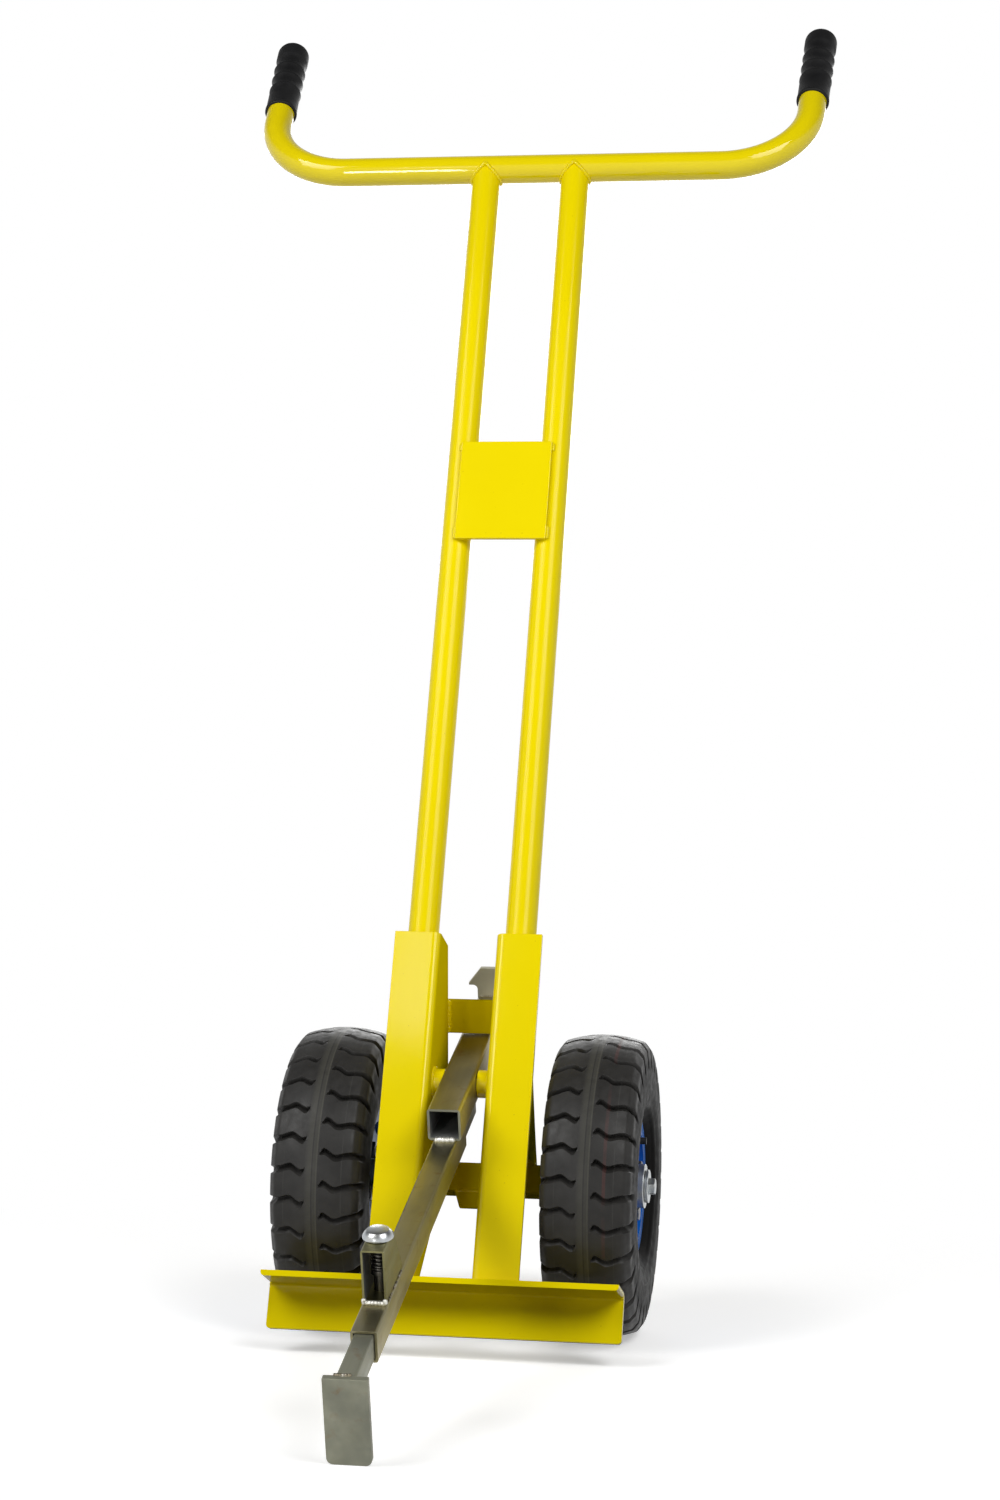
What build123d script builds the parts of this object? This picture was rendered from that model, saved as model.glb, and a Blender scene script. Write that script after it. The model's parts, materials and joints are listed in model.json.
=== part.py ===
from build123d import *
from math import acos, atan2, cos, degrees, hypot, radians, sin, sqrt
import os

os.makedirs("parts", exist_ok=True)

# Hand cart for paving slabs, in millimetres. It is drawn in the cart's own frame, with the front of the
# side plates at back = 0 and the top of the toe at up = 0, and leans back onto its wheels and jaw.

# Round tube of the handle and the uprights
tube_od = 26.9
tube_wall = 2.0
bar_height = 1073.5
handle_half_width = 260.5
handle_bend_radius = 82.0
handle_splay = 2.0
handle_tilt = 21.0
upright_foot = 200.0

# Rubber grips, measured along the handle end from the bar's axis
grip_start = 97.0
grip_length = 104.0
grip_end_wall = 4.0
grip_radius = 15.9
grip_collar_length = 33.0
grip_ring_count = 3
grip_ring_pitch = 17.0
grip_ring_depth = 1.3
grip_end_round = 8.0
grip_fit = 0.05

# Brace plate between the uprights
brace_width = 84.0
brace_height = 98.0
brace_thickness = 4.0
brace_bottom = 676.0

# Side plates, each bent from one sheet into a front flange and a web
plate_thickness = 5.0
bend_radius = 7.0
web_gap = 49.0
flange_width = 40.0
profile_height = 301.5
web_top_depth = 40.0

# Toe angle that takes the near edge of the slab
toe_length = 300.0
toe_leg = 42.0
toe_thickness = 5.0
toe_front = 16.0

# Flat bar behind the webs that the arm comes to rest against
stop_width = 29.5
stop_thickness = 6.0
stop_gap = 0.3

# Axle and its square beam
axle_back = 112.0
axle_height = 110.0
axle_diameter = 20.0
beam_size = 25.0
beam_wall = 2.4
beam_half_length = 72.0
gusset_outside = 55.0
gusset_thickness = 5.0
gusset_height = 150.0
gusset_curve = 5.0
tab_top_width = 26.0
tab_bottom_width = 15.6
tab_height = 15.0
tab_thickness = 5.0

# Wheels
track = 230.0
tyre_radius = 130.0
tyre_width = 80.0
tyre_wall = 8.0
crown_half_width = 33.0
crown_drop = 5.5
shoulder_drop = 12.0
bulge_radius = 84.0
rim_half_width = 27.5
rim_seat_radius = 50.5
rim_flange_height = 10.5
rim_sheet = 2.5
rim_disc_offset = 23.5
rim_dish = 5.0
rim_dish_radius = 37.0
bead_fit = 0.1
tube_fit = 0.4
inner_tube_wall = 2.0
hub_radius = 19.0
hub_bore = 14.0
hub_half_length = 37.3
hub_fit = 0.05
bearing_radius = 16.0
bearing_width = 7.0
bearing_fit = 0.02
axle_running_fit = 0.05
rim_bolt_count = 4
rim_bolt_turn = 45.0
rim_bolt_circle = 27.0
rim_bolt_diameter = 8.0
rim_bolt_flats = 13.0
rim_bolt_head = 5.3
rim_nut_height = 6.5
bolt_hole_fit = 0.2
valve_radius = 3.0
valve_offset = 11.0
valve_circle = 40.0
valve_bend = 5.0
valve_reach = 36.0
spacer_radius = 13.0
end_play = 0.3
axle_washer_radius = 14.3
axle_washer_thickness = 3.0
axle_screw_diameter = 8.0
axle_screw_length = 25.0
axle_screw_flats = 13.0
axle_screw_head = 5.5

# Arm, measured along itself from its pivot
pivot_back = 25.0
pivot_height = 174.0
pivot_diameter = 12.0
pivot_flats = 18.0
pivot_head = 7.5
pivot_nut_height = 10.0
pivot_washer_radius = 12.0
pivot_washer_thickness = 2.5
boss_radius = 12.0
boss_play = 0.3
bush_wall = 3.0
arm_slope = 38.0
arm_tube = 28.0
arm_tube_wall = 2.0
arm_tube_round = 3.0
arm_front = 86.0
arm_tail = 165.0
outer_width = 20.0
outer_height = 25.0
outer_wall = 2.0
outer_round = 2.0
outer_rear = 43.0
outer_front = 416.0

# Tail plate with its two hooks
tail_thickness = 5.0
tail_top = 41.0
tail_head_height = 16.5
tail_head_width = 43.5
tail_head_top_width = 21.0
tail_tip = 2.0
tail_root_radius = 4.0

# Telescopic bar and jaw
inner_width = 15.0
inner_height = 20.0
inner_round = 1.5
inner_rear = -20.0
lock_hole_step = 30.0
lock_hole_count = 8
jaw_reach = 482.0
jaw_width = 33.5
jaw_height = 68.5
jaw_thickness = 6.0
jaw_corner = 5.0

# Spring lock
housing_front = 374.5
housing_top_length = 35.0
housing_foot_length = 61.0
housing_width = 18.0
housing_height = 43.5
housing_wall = 1.5
pin_set_back = 23.0
pin_diameter = 10.0
pin_fit = 0.2
pin_head_radius = 11.9
pin_head_height = 6.0
pin_head_flat = 7.3
pin_tip_gap = 0.5
collar_radius = 6.9
collar_height = 4.0
collar_lift = 13.0
spring_wire = 1.5
spring_radius = 6.1
spring_turns = 6
spring_gap = 0.2

hands = ((-1, "left"), (1, "right"))

# Places worked out from the sizes above
tube_radius = tube_od / 2
web_inside = web_gap / 2
web_middle = web_inside + plate_thickness / 2
upright_side = web_inside + plate_thickness + tube_radius
upright_back = plate_thickness + tube_radius
grip_end = grip_start + grip_length
beam_half = beam_size / 2
slope = radians(arm_slope)
tilt = radians(handle_tilt)
splay = radians(handle_splay)
outer_axis = -(arm_tube + outer_height) / 2
outer_top = outer_axis + outer_height / 2
inner_top = outer_axis + inner_height / 2
jaw_bottom = inner_top - jaw_height


def arm_in_cart(along, above):
    """Back and up, in the cart's frame, of a point given along and above the arm."""
    back = pivot_back - along * cos(slope) - above * sin(slope)
    up = pivot_height - along * sin(slope) + above * cos(slope)
    return back, up


# The cart leans back until the jaw's lower front edge stands on the floor with the tyres
jaw_foot = arm_in_cart(jaw_reach, jaw_bottom)
foot_ahead = axle_back - jaw_foot[0]
foot_below = axle_height - jaw_foot[1]
lean = acos(tyre_radius / hypot(foot_ahead, foot_below)) - atan2(foot_ahead, foot_below)

side_dir = Vector(1, 0, 0)
back_dir = Vector(0, cos(lean), -sin(lean))
up_dir = Vector(0, sin(lean), cos(lean))
grip_dir = back_dir * sin(tilt) + up_dir * cos(tilt)
arm_dir = back_dir * -cos(slope) + up_dir * -sin(slope)
arm_top_dir = back_dir * -sin(slope) + up_dir * cos(slope)

# The origin is on the floor, halfway between the jaw's front and the rearmost point of the grips
jaw_crest = arm_in_cart(jaw_reach, inner_top)
front_reach = jaw_crest[0] * back_dir.Y + jaw_crest[1] * up_dir.Y
grip_rise = grip_dir.Y * cos(splay)
grip_axis_reach = upright_back * back_dir.Y + bar_height * up_dir.Y + (grip_end - grip_end_round) * grip_rise
rear_reach = grip_axis_reach + (grip_radius - grip_end_round) * sqrt(1 - grip_rise**2) + grip_end_round
floor_drop = tyre_radius - axle_back * back_dir.Z - axle_height * up_dir.Z
cart = Plane(origin=(0, -(front_reach + rear_reach) / 2, floor_drop), x_dir=side_dir, z_dir=up_dir)


def side_view(side):
    """Sketch plane across the cart, with back and up as its axes."""
    return Plane(origin=cart.from_local_coords((side, 0, 0)), x_dir=back_dir, z_dir=side_dir)


def front_view(back):
    """Sketch plane facing forward, with side and up as its axes."""
    return Plane(origin=cart.from_local_coords((0, back, 0)), x_dir=side_dir, z_dir=back_dir * -1)


def top_view(up, side=0.0, back=0.0):
    """Sketch plane facing up the uprights."""
    return Plane(origin=cart.from_local_coords((side, back, up)), x_dir=side_dir, z_dir=up_dir)


def wheel_view(side):
    """Sketch plane through a wheel's axis, with side and radius as its axes."""
    centre = cart.from_local_coords((side * track / 2, axle_back, axle_height))
    return Plane(origin=centre, x_dir=side_dir, z_dir=back_dir * -1)


def wheel_face(side, offset):
    """Sketch plane square to the axle, offset outward from the wheel's middle."""
    centre = cart.from_local_coords((side * (track / 2 + offset), axle_back, axle_height))
    return Plane(origin=centre, x_dir=back_dir, z_dir=side_dir)


def valve_view(side):
    """Sketch plane square to a valve's stem, where it leaves the inner tube."""
    centre = wheel_view(side).from_local_coords((side * valve_offset, rim_seat_radius, 0))
    return Plane(origin=centre, x_dir=side_dir, z_dir=up_dir)


pivot = cart.from_local_coords((0, pivot_back, pivot_height))
axle_axis = Axis(cart.from_local_coords((0, axle_back, axle_height)), side_dir)


def arm_side(side=0.0):
    """Sketch plane along the arm, with along and above as its axes."""
    return Plane(origin=pivot + side_dir * side, x_dir=arm_dir, z_dir=side_dir * -1)


def arm_section(along, above=0.0):
    """Sketch plane square to the arm, with side and above as its axes."""
    origin = pivot + arm_dir * along + arm_top_dir * above
    return Plane(origin=origin, x_dir=side_dir, z_dir=arm_dir)


def pin_section(above):
    """Sketch plane square to the lock pin."""
    origin = pivot + arm_dir * pin_along + arm_top_dir * above
    return Plane(origin=origin, x_dir=side_dir, z_dir=arm_top_dir)


pin_along = housing_front - pin_set_back
housing_top = outer_top + housing_height
housing_floor = outer_top + housing_wall


def finish(part, name):
    """Label a piece and write its file."""
    part.label = name
    export_step(part, f"parts/{name}.step")


def hexagon(flats):
    """Six-sided outline of the given width across flats."""
    RegularPolygon(flats / 2, 6, major_radius=False)


# Handle, one tube bent at both ends, which splay a little
handle_normal = side_dir.cross(grip_dir)
handle_view = Plane(
    origin=cart.from_local_coords((0, upright_back, bar_height)),
    x_dir=side_dir,
    z_dir=handle_normal,
)
handle_end = grip_end - grip_end_wall
handle_tip = (handle_half_width + handle_end * sin(splay), handle_end * cos(splay))
with BuildPart() as handlebar:
    with BuildLine(handle_view) as handle_path:
        FilletPolyline(
            (-handle_tip[0], handle_tip[1]),
            (-handle_half_width, 0),
            (handle_half_width, 0),
            handle_tip,
            radius=handle_bend_radius,
        )
    with BuildSketch(Plane(origin=handle_path.line @ 0, z_dir=handle_path.line % 0)):
        Circle(tube_radius)
        Circle(tube_radius - tube_wall, mode=Mode.SUBTRACT)
    sweep()
finish(handlebar.part, "handlebar")

# Grips, with a plain collar, finger rings and a rounded closed end
for side, hand in hands:
    grip_axis_point = handle_view.from_local_coords((side * handle_half_width, 0, 0))
    end_dir = grip_dir * cos(splay) + side_dir * (side * sin(splay))
    with BuildPart() as grip:
        with BuildSketch(Plane(grip_axis_point, x_dir=end_dir.cross(handle_normal), z_dir=handle_normal)):
            with BuildLine():
                wall_start = (tube_radius + grip_fit, grip_start)
                line = Line(wall_start, (grip_radius, grip_start))
                line = Line(line @ 1, (grip_radius, grip_start + grip_collar_length))
                for ring in range(grip_ring_count):
                    low = grip_start + grip_collar_length + ring * grip_ring_pitch
                    valley = (grip_radius - grip_ring_depth, low + grip_ring_pitch / 2)
                    line = ThreePointArc(line @ 1, valley, (grip_radius, low + grip_ring_pitch))
                line = Line(line @ 1, (grip_radius, grip_end - grip_end_round))
                line = RadiusArc(line @ 1, (grip_radius - grip_end_round, grip_end), -grip_end_round)
                line = Polyline(
                    line @ 1,
                    (0, grip_end),
                    (0, handle_end),
                    (tube_radius + grip_fit, handle_end),
                    wall_start,
                )
            make_face()
        revolve(axis=Axis(grip_axis_point, end_dir))
    finish(grip.part, f"{hand}_grip")

# Uprights, saddled onto the bar
for side, hand in hands:
    with BuildPart() as upright:
        with BuildSketch(top_view(upright_foot, side * upright_side, upright_back)):
            Circle(tube_radius)
            Circle(tube_radius - tube_wall, mode=Mode.SUBTRACT)
        extrude(amount=bar_height - upright_foot)
        with BuildSketch(side_view(side * upright_side)):
            with Locations((upright_back, bar_height)):
                Circle(tube_radius)
        extrude(amount=tube_od, both=True, mode=Mode.SUBTRACT)
    finish(upright.part, f"{hand}_upright")

# Brace plate on the front of the uprights
with BuildPart() as brace_plate:
    with BuildSketch(front_view(plate_thickness - brace_thickness / 2)):
        with Locations((0, brace_bottom + brace_height / 2)):
            Rectangle(brace_width, brace_height)
    extrude(amount=brace_thickness / 2, both=True)
finish(brace_plate.part, "brace_plate")

# Side plates: a tapered web that holds the pivot and the axle beam, and a flange bent outward at the front
beam_top = axle_height + beam_half
beam_bottom = axle_height - beam_half
beam_front = axle_back - beam_half
beam_rear = axle_back + beam_half
toe_rear = toe_leg - toe_front
web_outline = (
    (0, 0),
    (0, profile_height),
    (web_top_depth, profile_height),
    (beam_rear, beam_top),
    (beam_front, beam_top),
    (beam_front, beam_bottom),
    (toe_rear, 0),
)
for side, hand in hands:
    with BuildPart() as side_plate:
        with BuildSketch(side_view(side * web_middle)):
            with BuildLine():
                Polyline(*web_outline, close=True)
            make_face()
        extrude(amount=plate_thickness / 2, both=True)
        with BuildSketch(front_view(plate_thickness / 2)):
            with Locations((side * (web_inside + flange_width / 2), profile_height / 2)):
                Rectangle(flange_width, profile_height)
        extrude(amount=plate_thickness / 2, both=True)
        upward = side_plate.edges().filter_by(Axis((0, 0, 0), up_dir))
        outer_bend = cart.from_local_coords((side * web_inside, 0, profile_height / 2))
        inner_bend = cart.from_local_coords(
            (side * (web_inside + plate_thickness), plate_thickness, profile_height / 2)
        )
        fillet(upward.sort_by_distance(outer_bend)[0], bend_radius)
        fillet(side_plate.edges().sort_by_distance(inner_bend)[0], bend_radius - plate_thickness)
        with BuildSketch(side_view(side * web_middle)):
            with Locations((pivot_back, pivot_height)):
                Circle(pivot_diameter / 2 + pin_fit)
        extrude(amount=plate_thickness, both=True, mode=Mode.SUBTRACT)
    finish(side_plate.part, f"{hand}_side_plate")

# Toe angle, bent from one plate
with BuildPart() as toe_angle:
    with BuildSketch(side_view(0)):
        with BuildLine():
            Polyline(
                (-toe_front, 0),
                (toe_rear, 0),
                (toe_rear, -toe_leg),
                (toe_rear - toe_thickness, -toe_leg),
                (toe_rear - toe_thickness, -toe_thickness),
                (-toe_front, -toe_thickness),
                close=True,
            )
        make_face()
    extrude(amount=toe_length / 2, both=True)
    sideways = toe_angle.edges().filter_by(Axis.X)
    toe_outer_bend = cart.from_local_coords((0, toe_rear, 0))
    toe_inner_bend = cart.from_local_coords((0, toe_rear - toe_thickness, -toe_thickness))
    fillet(sideways.sort_by_distance(toe_outer_bend)[0], bend_radius)
    fillet(toe_angle.edges().sort_by_distance(toe_inner_bend)[0], bend_radius - toe_thickness)
finish(toe_angle.part, "toe_angle")

# Stop plate, lying on the rear edges of both webs where its lower edge meets the arm's top face
edge_run = Vector(0, beam_rear - web_top_depth, beam_top - profile_height).normalized()
edge_out = Vector(0, -edge_run.Z, edge_run.Y)
arm_up = Vector(0, -sin(slope), cos(slope))
corner_from_pivot = Vector(0, web_top_depth - pivot_back, profile_height - pivot_height)
stop_reach = arm_tube / 2 + stop_gap - (corner_from_pivot + edge_out * stop_thickness).dot(arm_up)
stop_low = stop_reach / edge_run.dot(arm_up)
with BuildPart() as stop_plate:
    with BuildSketch(side_view(0)):
        with BuildLine():
            outline = []
            for down, out in ((0, 0), (stop_width, 0), (stop_width, 1), (0, 1)):
                run = edge_run * (stop_low - stop_width + down) + edge_out * (out * stop_thickness)
                outline.append((web_top_depth + run.Y, profile_height + run.Z))
            Polyline(*outline, close=True)
        make_face()
    extrude(amount=web_inside + plate_thickness, both=True)
finish(stop_plate.part, "stop_plate")

# Axle beam, a square tube in the notches of the webs
with BuildPart() as axle_beam:
    with BuildSketch(side_view(0)):
        with Locations((axle_back, axle_height)):
            Rectangle(beam_size, beam_size)
            Rectangle(beam_size - 2 * beam_wall, beam_size - 2 * beam_wall, mode=Mode.SUBTRACT)
    extrude(amount=beam_half_length, both=True)
finish(axle_beam.part, "axle_beam")

# Tapered tab under the middle of the beam
with BuildPart() as beam_tab:
    with BuildSketch(front_view(beam_front + tab_thickness / 2)):
        with BuildLine():
            Polyline(
                (-tab_top_width / 2, beam_bottom),
                (tab_top_width / 2, beam_bottom),
                (tab_bottom_width / 2, beam_bottom - tab_height),
                (-tab_bottom_width / 2, beam_bottom - tab_height),
                close=True,
            )
        make_face()
    extrude(amount=tab_thickness / 2, both=True)
finish(beam_tab.part, "beam_tab")

# Gussets from the flanges and uprights back to the ends of the beam, flared where they meet it
gusset_run = Vector(beam_rear - plate_thickness, -gusset_height)
gusset_share = (upright_back - plate_thickness) / gusset_run.X
gusset_tip = (upright_back, beam_top + gusset_height * (1 - gusset_share))
gusset_inward = Vector(gusset_run.Y, -gusset_run.X).normalized() * gusset_curve
gusset_waist = (
    (gusset_tip[0] + beam_rear) / 2 + gusset_inward.X,
    (gusset_tip[1] + beam_top) / 2 + gusset_inward.Y,
)
for side, hand in hands:
    with BuildPart() as gusset:
        with BuildSketch(side_view(side * (gusset_outside - gusset_thickness / 2))):
            with BuildLine():
                line = Polyline(
                    gusset_tip,
                    (upright_back, upright_foot),
                    (plate_thickness, upright_foot),
                    (plate_thickness, beam_top),
                    (beam_rear, beam_top),
                )
                ThreePointArc(line @ 1, gusset_waist, gusset_tip)
            make_face()
        extrude(amount=gusset_thickness / 2, both=True)
        with BuildSketch(top_view(upright_foot, side * upright_side, upright_back)):
            Circle(tube_radius)
        extrude(amount=gusset_height, mode=Mode.SUBTRACT)
    finish(gusset.part, f"{hand}_gusset")

# Pivot bosses between the webs and the arm
boss_inside = arm_tube / 2 + boss_play
boss_length = web_inside - boss_inside
for side, hand in hands:
    with BuildPart() as pivot_boss:
        with BuildSketch(side_view(side * (boss_inside + boss_length / 2))):
            with Locations((pivot_back, pivot_height)):
                Circle(boss_radius)
                Circle(pivot_diameter / 2 + pin_fit, mode=Mode.SUBTRACT)
        extrude(amount=boss_length / 2, both=True)
    finish(pivot_boss.part, f"{hand}_pivot_boss")

# Pivot bolt, with its washers and nut outside the webs
web_outside = web_inside + plate_thickness
with BuildPart() as pivot_bolt:
    with BuildSketch(side_view(-web_outside - pivot_washer_thickness)):
        with Locations((pivot_back, pivot_height)):
            Circle(pivot_diameter / 2)
    extrude(amount=2 * (web_outside + pivot_washer_thickness) + pivot_nut_height)
    with BuildSketch(side_view(-web_outside - pivot_washer_thickness - pivot_head)):
        with Locations((pivot_back, pivot_height)):
            hexagon(pivot_flats)
    extrude(amount=pivot_head)
finish(pivot_bolt.part, "pivot_bolt")

with BuildPart() as pivot_nut:
    with BuildSketch(side_view(web_outside + pivot_washer_thickness)):
        with Locations((pivot_back, pivot_height)):
            hexagon(pivot_flats)
            Circle(pivot_diameter / 2, mode=Mode.SUBTRACT)
    extrude(amount=pivot_nut_height)
finish(pivot_nut.part, "pivot_nut")

with BuildPart() as pivot_washers:
    for side, hand in hands:
        with BuildSketch(side_view(side * (web_outside + pivot_washer_thickness / 2))):
            with Locations((pivot_back, pivot_height)):
                Circle(pivot_washer_radius)
                Circle(pivot_diameter / 2 + pin_fit, mode=Mode.SUBTRACT)
        extrude(amount=pivot_washer_thickness / 2, both=True)
finish(pivot_washers.part, "pivot_washers")

# Axle, with a spacer inside each wheel, and a washer and a screw outside it
hub_inner = track / 2 - hub_half_length
hub_outer = track / 2 + hub_half_length
axle_end = hub_outer + end_play
with BuildPart() as axle:
    with BuildSketch(side_view(0)):
        with Locations((axle_back, axle_height)):
            Circle(axle_diameter / 2)
    extrude(amount=axle_end, both=True)
    for side, hand in hands:
        with BuildSketch(side_view(side * (axle_end - axle_screw_length / 2))):
            with Locations((axle_back, axle_height)):
                Circle(axle_screw_diameter / 2)
        extrude(amount=axle_screw_length / 2, both=True, mode=Mode.SUBTRACT)
finish(axle.part, "axle")

spacer_length = hub_inner - end_play - beam_half_length
with BuildPart() as axle_spacers:
    for side, hand in hands:
        with BuildSketch(side_view(side * (beam_half_length + spacer_length / 2))):
            with Locations((axle_back, axle_height)):
                Circle(spacer_radius)
                Circle(axle_diameter / 2 + axle_running_fit, mode=Mode.SUBTRACT)
        extrude(amount=spacer_length / 2, both=True)
finish(axle_spacers.part, "axle_spacers")

with BuildPart() as axle_washers:
    for side, hand in hands:
        with BuildSketch(side_view(side * (axle_end + axle_washer_thickness / 2))):
            with Locations((axle_back, axle_height)):
                Circle(axle_washer_radius)
                Circle(axle_screw_diameter / 2 + pin_fit, mode=Mode.SUBTRACT)
        extrude(amount=axle_washer_thickness / 2, both=True)
finish(axle_washers.part, "axle_washers")

screw_face = axle_end + axle_washer_thickness
screw_shank = axle_screw_length + axle_washer_thickness
with BuildPart() as axle_screws:
    for side, hand in hands:
        with BuildSketch(side_view(side * (screw_face - screw_shank / 2))):
            with Locations((axle_back, axle_height)):
                Circle(axle_screw_diameter / 2)
        extrude(amount=screw_shank / 2, both=True)
        with BuildSketch(side_view(side * (screw_face + axle_screw_head / 2))):
            with Locations((axle_back, axle_height)):
                hexagon(axle_screw_flats)
        extrude(amount=axle_screw_head / 2, both=True)
finish(axle_screws.part, "axle_screws")

# Wheels: half outlines to the right of each wheel's middle, as side and radius
half_tyre = tyre_width / 2
bead_inner = rim_half_width - bead_fit
bead_low = rim_seat_radius + bead_fit
bead_high = rim_seat_radius + rim_flange_height
crown_edge = (crown_half_width, tyre_radius - crown_drop)
shoulder = (half_tyre - tyre_wall / 4, tyre_radius - shoulder_drop)
cavity_half = half_tyre - tyre_wall
cavity_top = tyre_radius - 1.2 * tyre_wall
cavity_foot = (bead_inner - tyre_wall, bead_low)
cavity_waist = (cavity_half, bulge_radius)
cavity_knee = ((cavity_foot[0] + cavity_half) / 2, (bead_low + bulge_radius) / 2 - tyre_wall / 2)
cavity_shoulder = (cavity_half * 0.72, cavity_top - tyre_wall / 2)


def tyre_outside():
    """Right half of a tyre's outside, from bead to crown."""
    bulge = (half_tyre, bulge_radius)
    Line((bead_inner, bead_low), (bead_inner, bead_high))
    TangentArc(bulge, (bead_inner, bead_high), tangent=(0, -1))
    TangentArc(bulge, shoulder, tangent=(0, 1))
    Line(shoulder, crown_edge)
    TangentArc((0, tyre_radius), crown_edge, tangent=(1, 0))


def cavity_line(inset):
    """Right half of the space inside a tyre, drawn in by the given inset."""
    line = Line((0, bead_low + inset), (cavity_foot[0] - inset, bead_low + inset))
    knee = (cavity_knee[0] - inset, cavity_knee[1])
    line = ThreePointArc(line @ 1, knee, (cavity_waist[0] - inset, cavity_waist[1]))
    line = ThreePointArc(
        line @ 1,
        (cavity_shoulder[0] - inset / 2, cavity_shoulder[1] - inset),
        (0, cavity_top - inset),
    )


half_rim = (
    (0, rim_seat_radius),
    (rim_half_width, rim_seat_radius),
    (rim_half_width, bead_high),
    (rim_half_width + rim_sheet, bead_high),
    (rim_half_width + rim_sheet, rim_seat_radius - rim_sheet),
    (rim_disc_offset - rim_dish + rim_sheet, rim_seat_radius - rim_sheet),
    (rim_disc_offset + rim_sheet, rim_dish_radius),
    (rim_disc_offset + rim_sheet, hub_radius + hub_fit),
    (rim_disc_offset, hub_radius + hub_fit),
    (rim_disc_offset, rim_dish_radius),
    (rim_disc_offset - rim_dish, rim_seat_radius - rim_sheet),
    (0, rim_seat_radius - rim_sheet),
)
half_hub = (
    (0, hub_bore),
    (0, hub_radius),
    (hub_half_length, hub_radius),
    (hub_half_length, bearing_radius + bearing_fit),
    (hub_half_length - bearing_width, bearing_radius + bearing_fit),
    (hub_half_length - bearing_width, hub_bore),
)
bolt_reach = rim_disc_offset + rim_sheet
for side, hand in hands:
    wheel_middle = Plane.YZ.offset(side * track / 2)
    with BuildPart() as tyre:
        with BuildSketch(wheel_view(side)):
            with BuildLine():
                tyre_outside()
                Line((0, tyre_radius), (0, cavity_top))
                ThreePointArc((0, cavity_top), cavity_shoulder, cavity_waist)
                ThreePointArc(cavity_waist, cavity_knee, cavity_foot)
                Line(cavity_foot, (bead_inner, bead_low))
            make_face()
            mirror(about=Plane.YZ)
        revolve(axis=axle_axis)
    finish(tyre.part, f"{hand}_tyre")

    with BuildPart() as inner_tube:
        with BuildSketch(wheel_view(side)):
            with BuildLine():
                cavity_line(tube_fit)
                Line((0, cavity_top - tube_fit), (0, bead_low + tube_fit))
            make_face()
            with BuildLine():
                cavity_line(tube_fit + inner_tube_wall)
                Line(
                    (0, cavity_top - tube_fit - inner_tube_wall),
                    (0, bead_low + tube_fit + inner_tube_wall),
                )
            make_face(mode=Mode.SUBTRACT)
            mirror(about=Plane.YZ)
        revolve(axis=axle_axis)
        with BuildSketch(valve_view(side)):
            Circle(valve_radius)
        extrude(amount=tyre_wall, mode=Mode.SUBTRACT)
    finish(inner_tube.part, f"{hand}_inner_tube")

    for face, place in ((side, "outer"), (-side, "inner")):
        with BuildPart() as rim:
            with BuildSketch(wheel_view(side)):
                with BuildLine():
                    Polyline(*((face * across, radius) for across, radius in half_rim), close=True)
                make_face()
            revolve(axis=axle_axis)
            with BuildSketch(wheel_face(side, 0)):
                with PolarLocations(rim_bolt_circle, rim_bolt_count, rim_bolt_turn):
                    Circle(rim_bolt_diameter / 2 + bolt_hole_fit)
            extrude(amount=rim_half_width, both=True, mode=Mode.SUBTRACT)
            if place == "outer":
                with BuildSketch(valve_view(side)):
                    Circle(valve_radius + bolt_hole_fit)
                extrude(amount=2 * rim_sheet, both=True, mode=Mode.SUBTRACT)
                with BuildSketch(wheel_face(side, rim_disc_offset)):
                    with Locations((0, valve_circle)):
                        Circle(valve_radius + bolt_hole_fit)
                extrude(amount=2 * rim_sheet, both=True, mode=Mode.SUBTRACT)
        finish(rim.part, f"{hand}_{place}_rim")

    with BuildPart() as hub:
        with BuildSketch(wheel_view(side)):
            with BuildLine():
                Polyline(*half_hub, close=True)
            make_face()
            mirror(about=Plane.YZ)
        revolve(axis=axle_axis)
    finish(hub.part, f"{hand}_hub")

    with BuildPart() as bearings:
        for face in (-1, 1):
            with BuildSketch(wheel_face(side, face * (hub_half_length - bearing_width / 2))):
                Circle(bearing_radius)
                Circle(axle_diameter / 2 + axle_running_fit, mode=Mode.SUBTRACT)
            extrude(amount=bearing_width / 2, both=True)
    finish(bearings.part, f"{hand}_bearings")

    with BuildPart() as rim_bolts:
        with BuildSketch(wheel_face(side, 0)):
            with PolarLocations(rim_bolt_circle, rim_bolt_count, rim_bolt_turn):
                Circle(rim_bolt_diameter / 2)
        extrude(amount=bolt_reach, both=True)
        with BuildSketch(wheel_face(side, bolt_reach + rim_bolt_head / 2)):
            with PolarLocations(rim_bolt_circle, rim_bolt_count, rim_bolt_turn):
                hexagon(rim_bolt_flats)
        extrude(amount=rim_bolt_head / 2, both=True)
        with BuildSketch(wheel_face(side, -bolt_reach - rim_nut_height / 2)):
            with PolarLocations(rim_bolt_circle, rim_bolt_count, rim_bolt_turn):
                hexagon(rim_bolt_flats)
        extrude(amount=rim_nut_height / 2, both=True)
    finish(rim_bolts.part, f"{hand}_rim_bolts")

    with BuildPart() as valve:
        with BuildLine(wheel_view(side)) as stem:
            FilletPolyline(
                (side * valve_offset, bead_low + tube_fit + inner_tube_wall),
                (side * valve_offset, valve_circle),
                (side * valve_reach, valve_circle),
                radius=valve_bend,
            )
        with BuildSketch(Plane(origin=stem.line @ 0, z_dir=stem.line % 0)):
            Circle(valve_radius)
        sweep()
    finish(valve.part, f"{hand}_valve")

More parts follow.
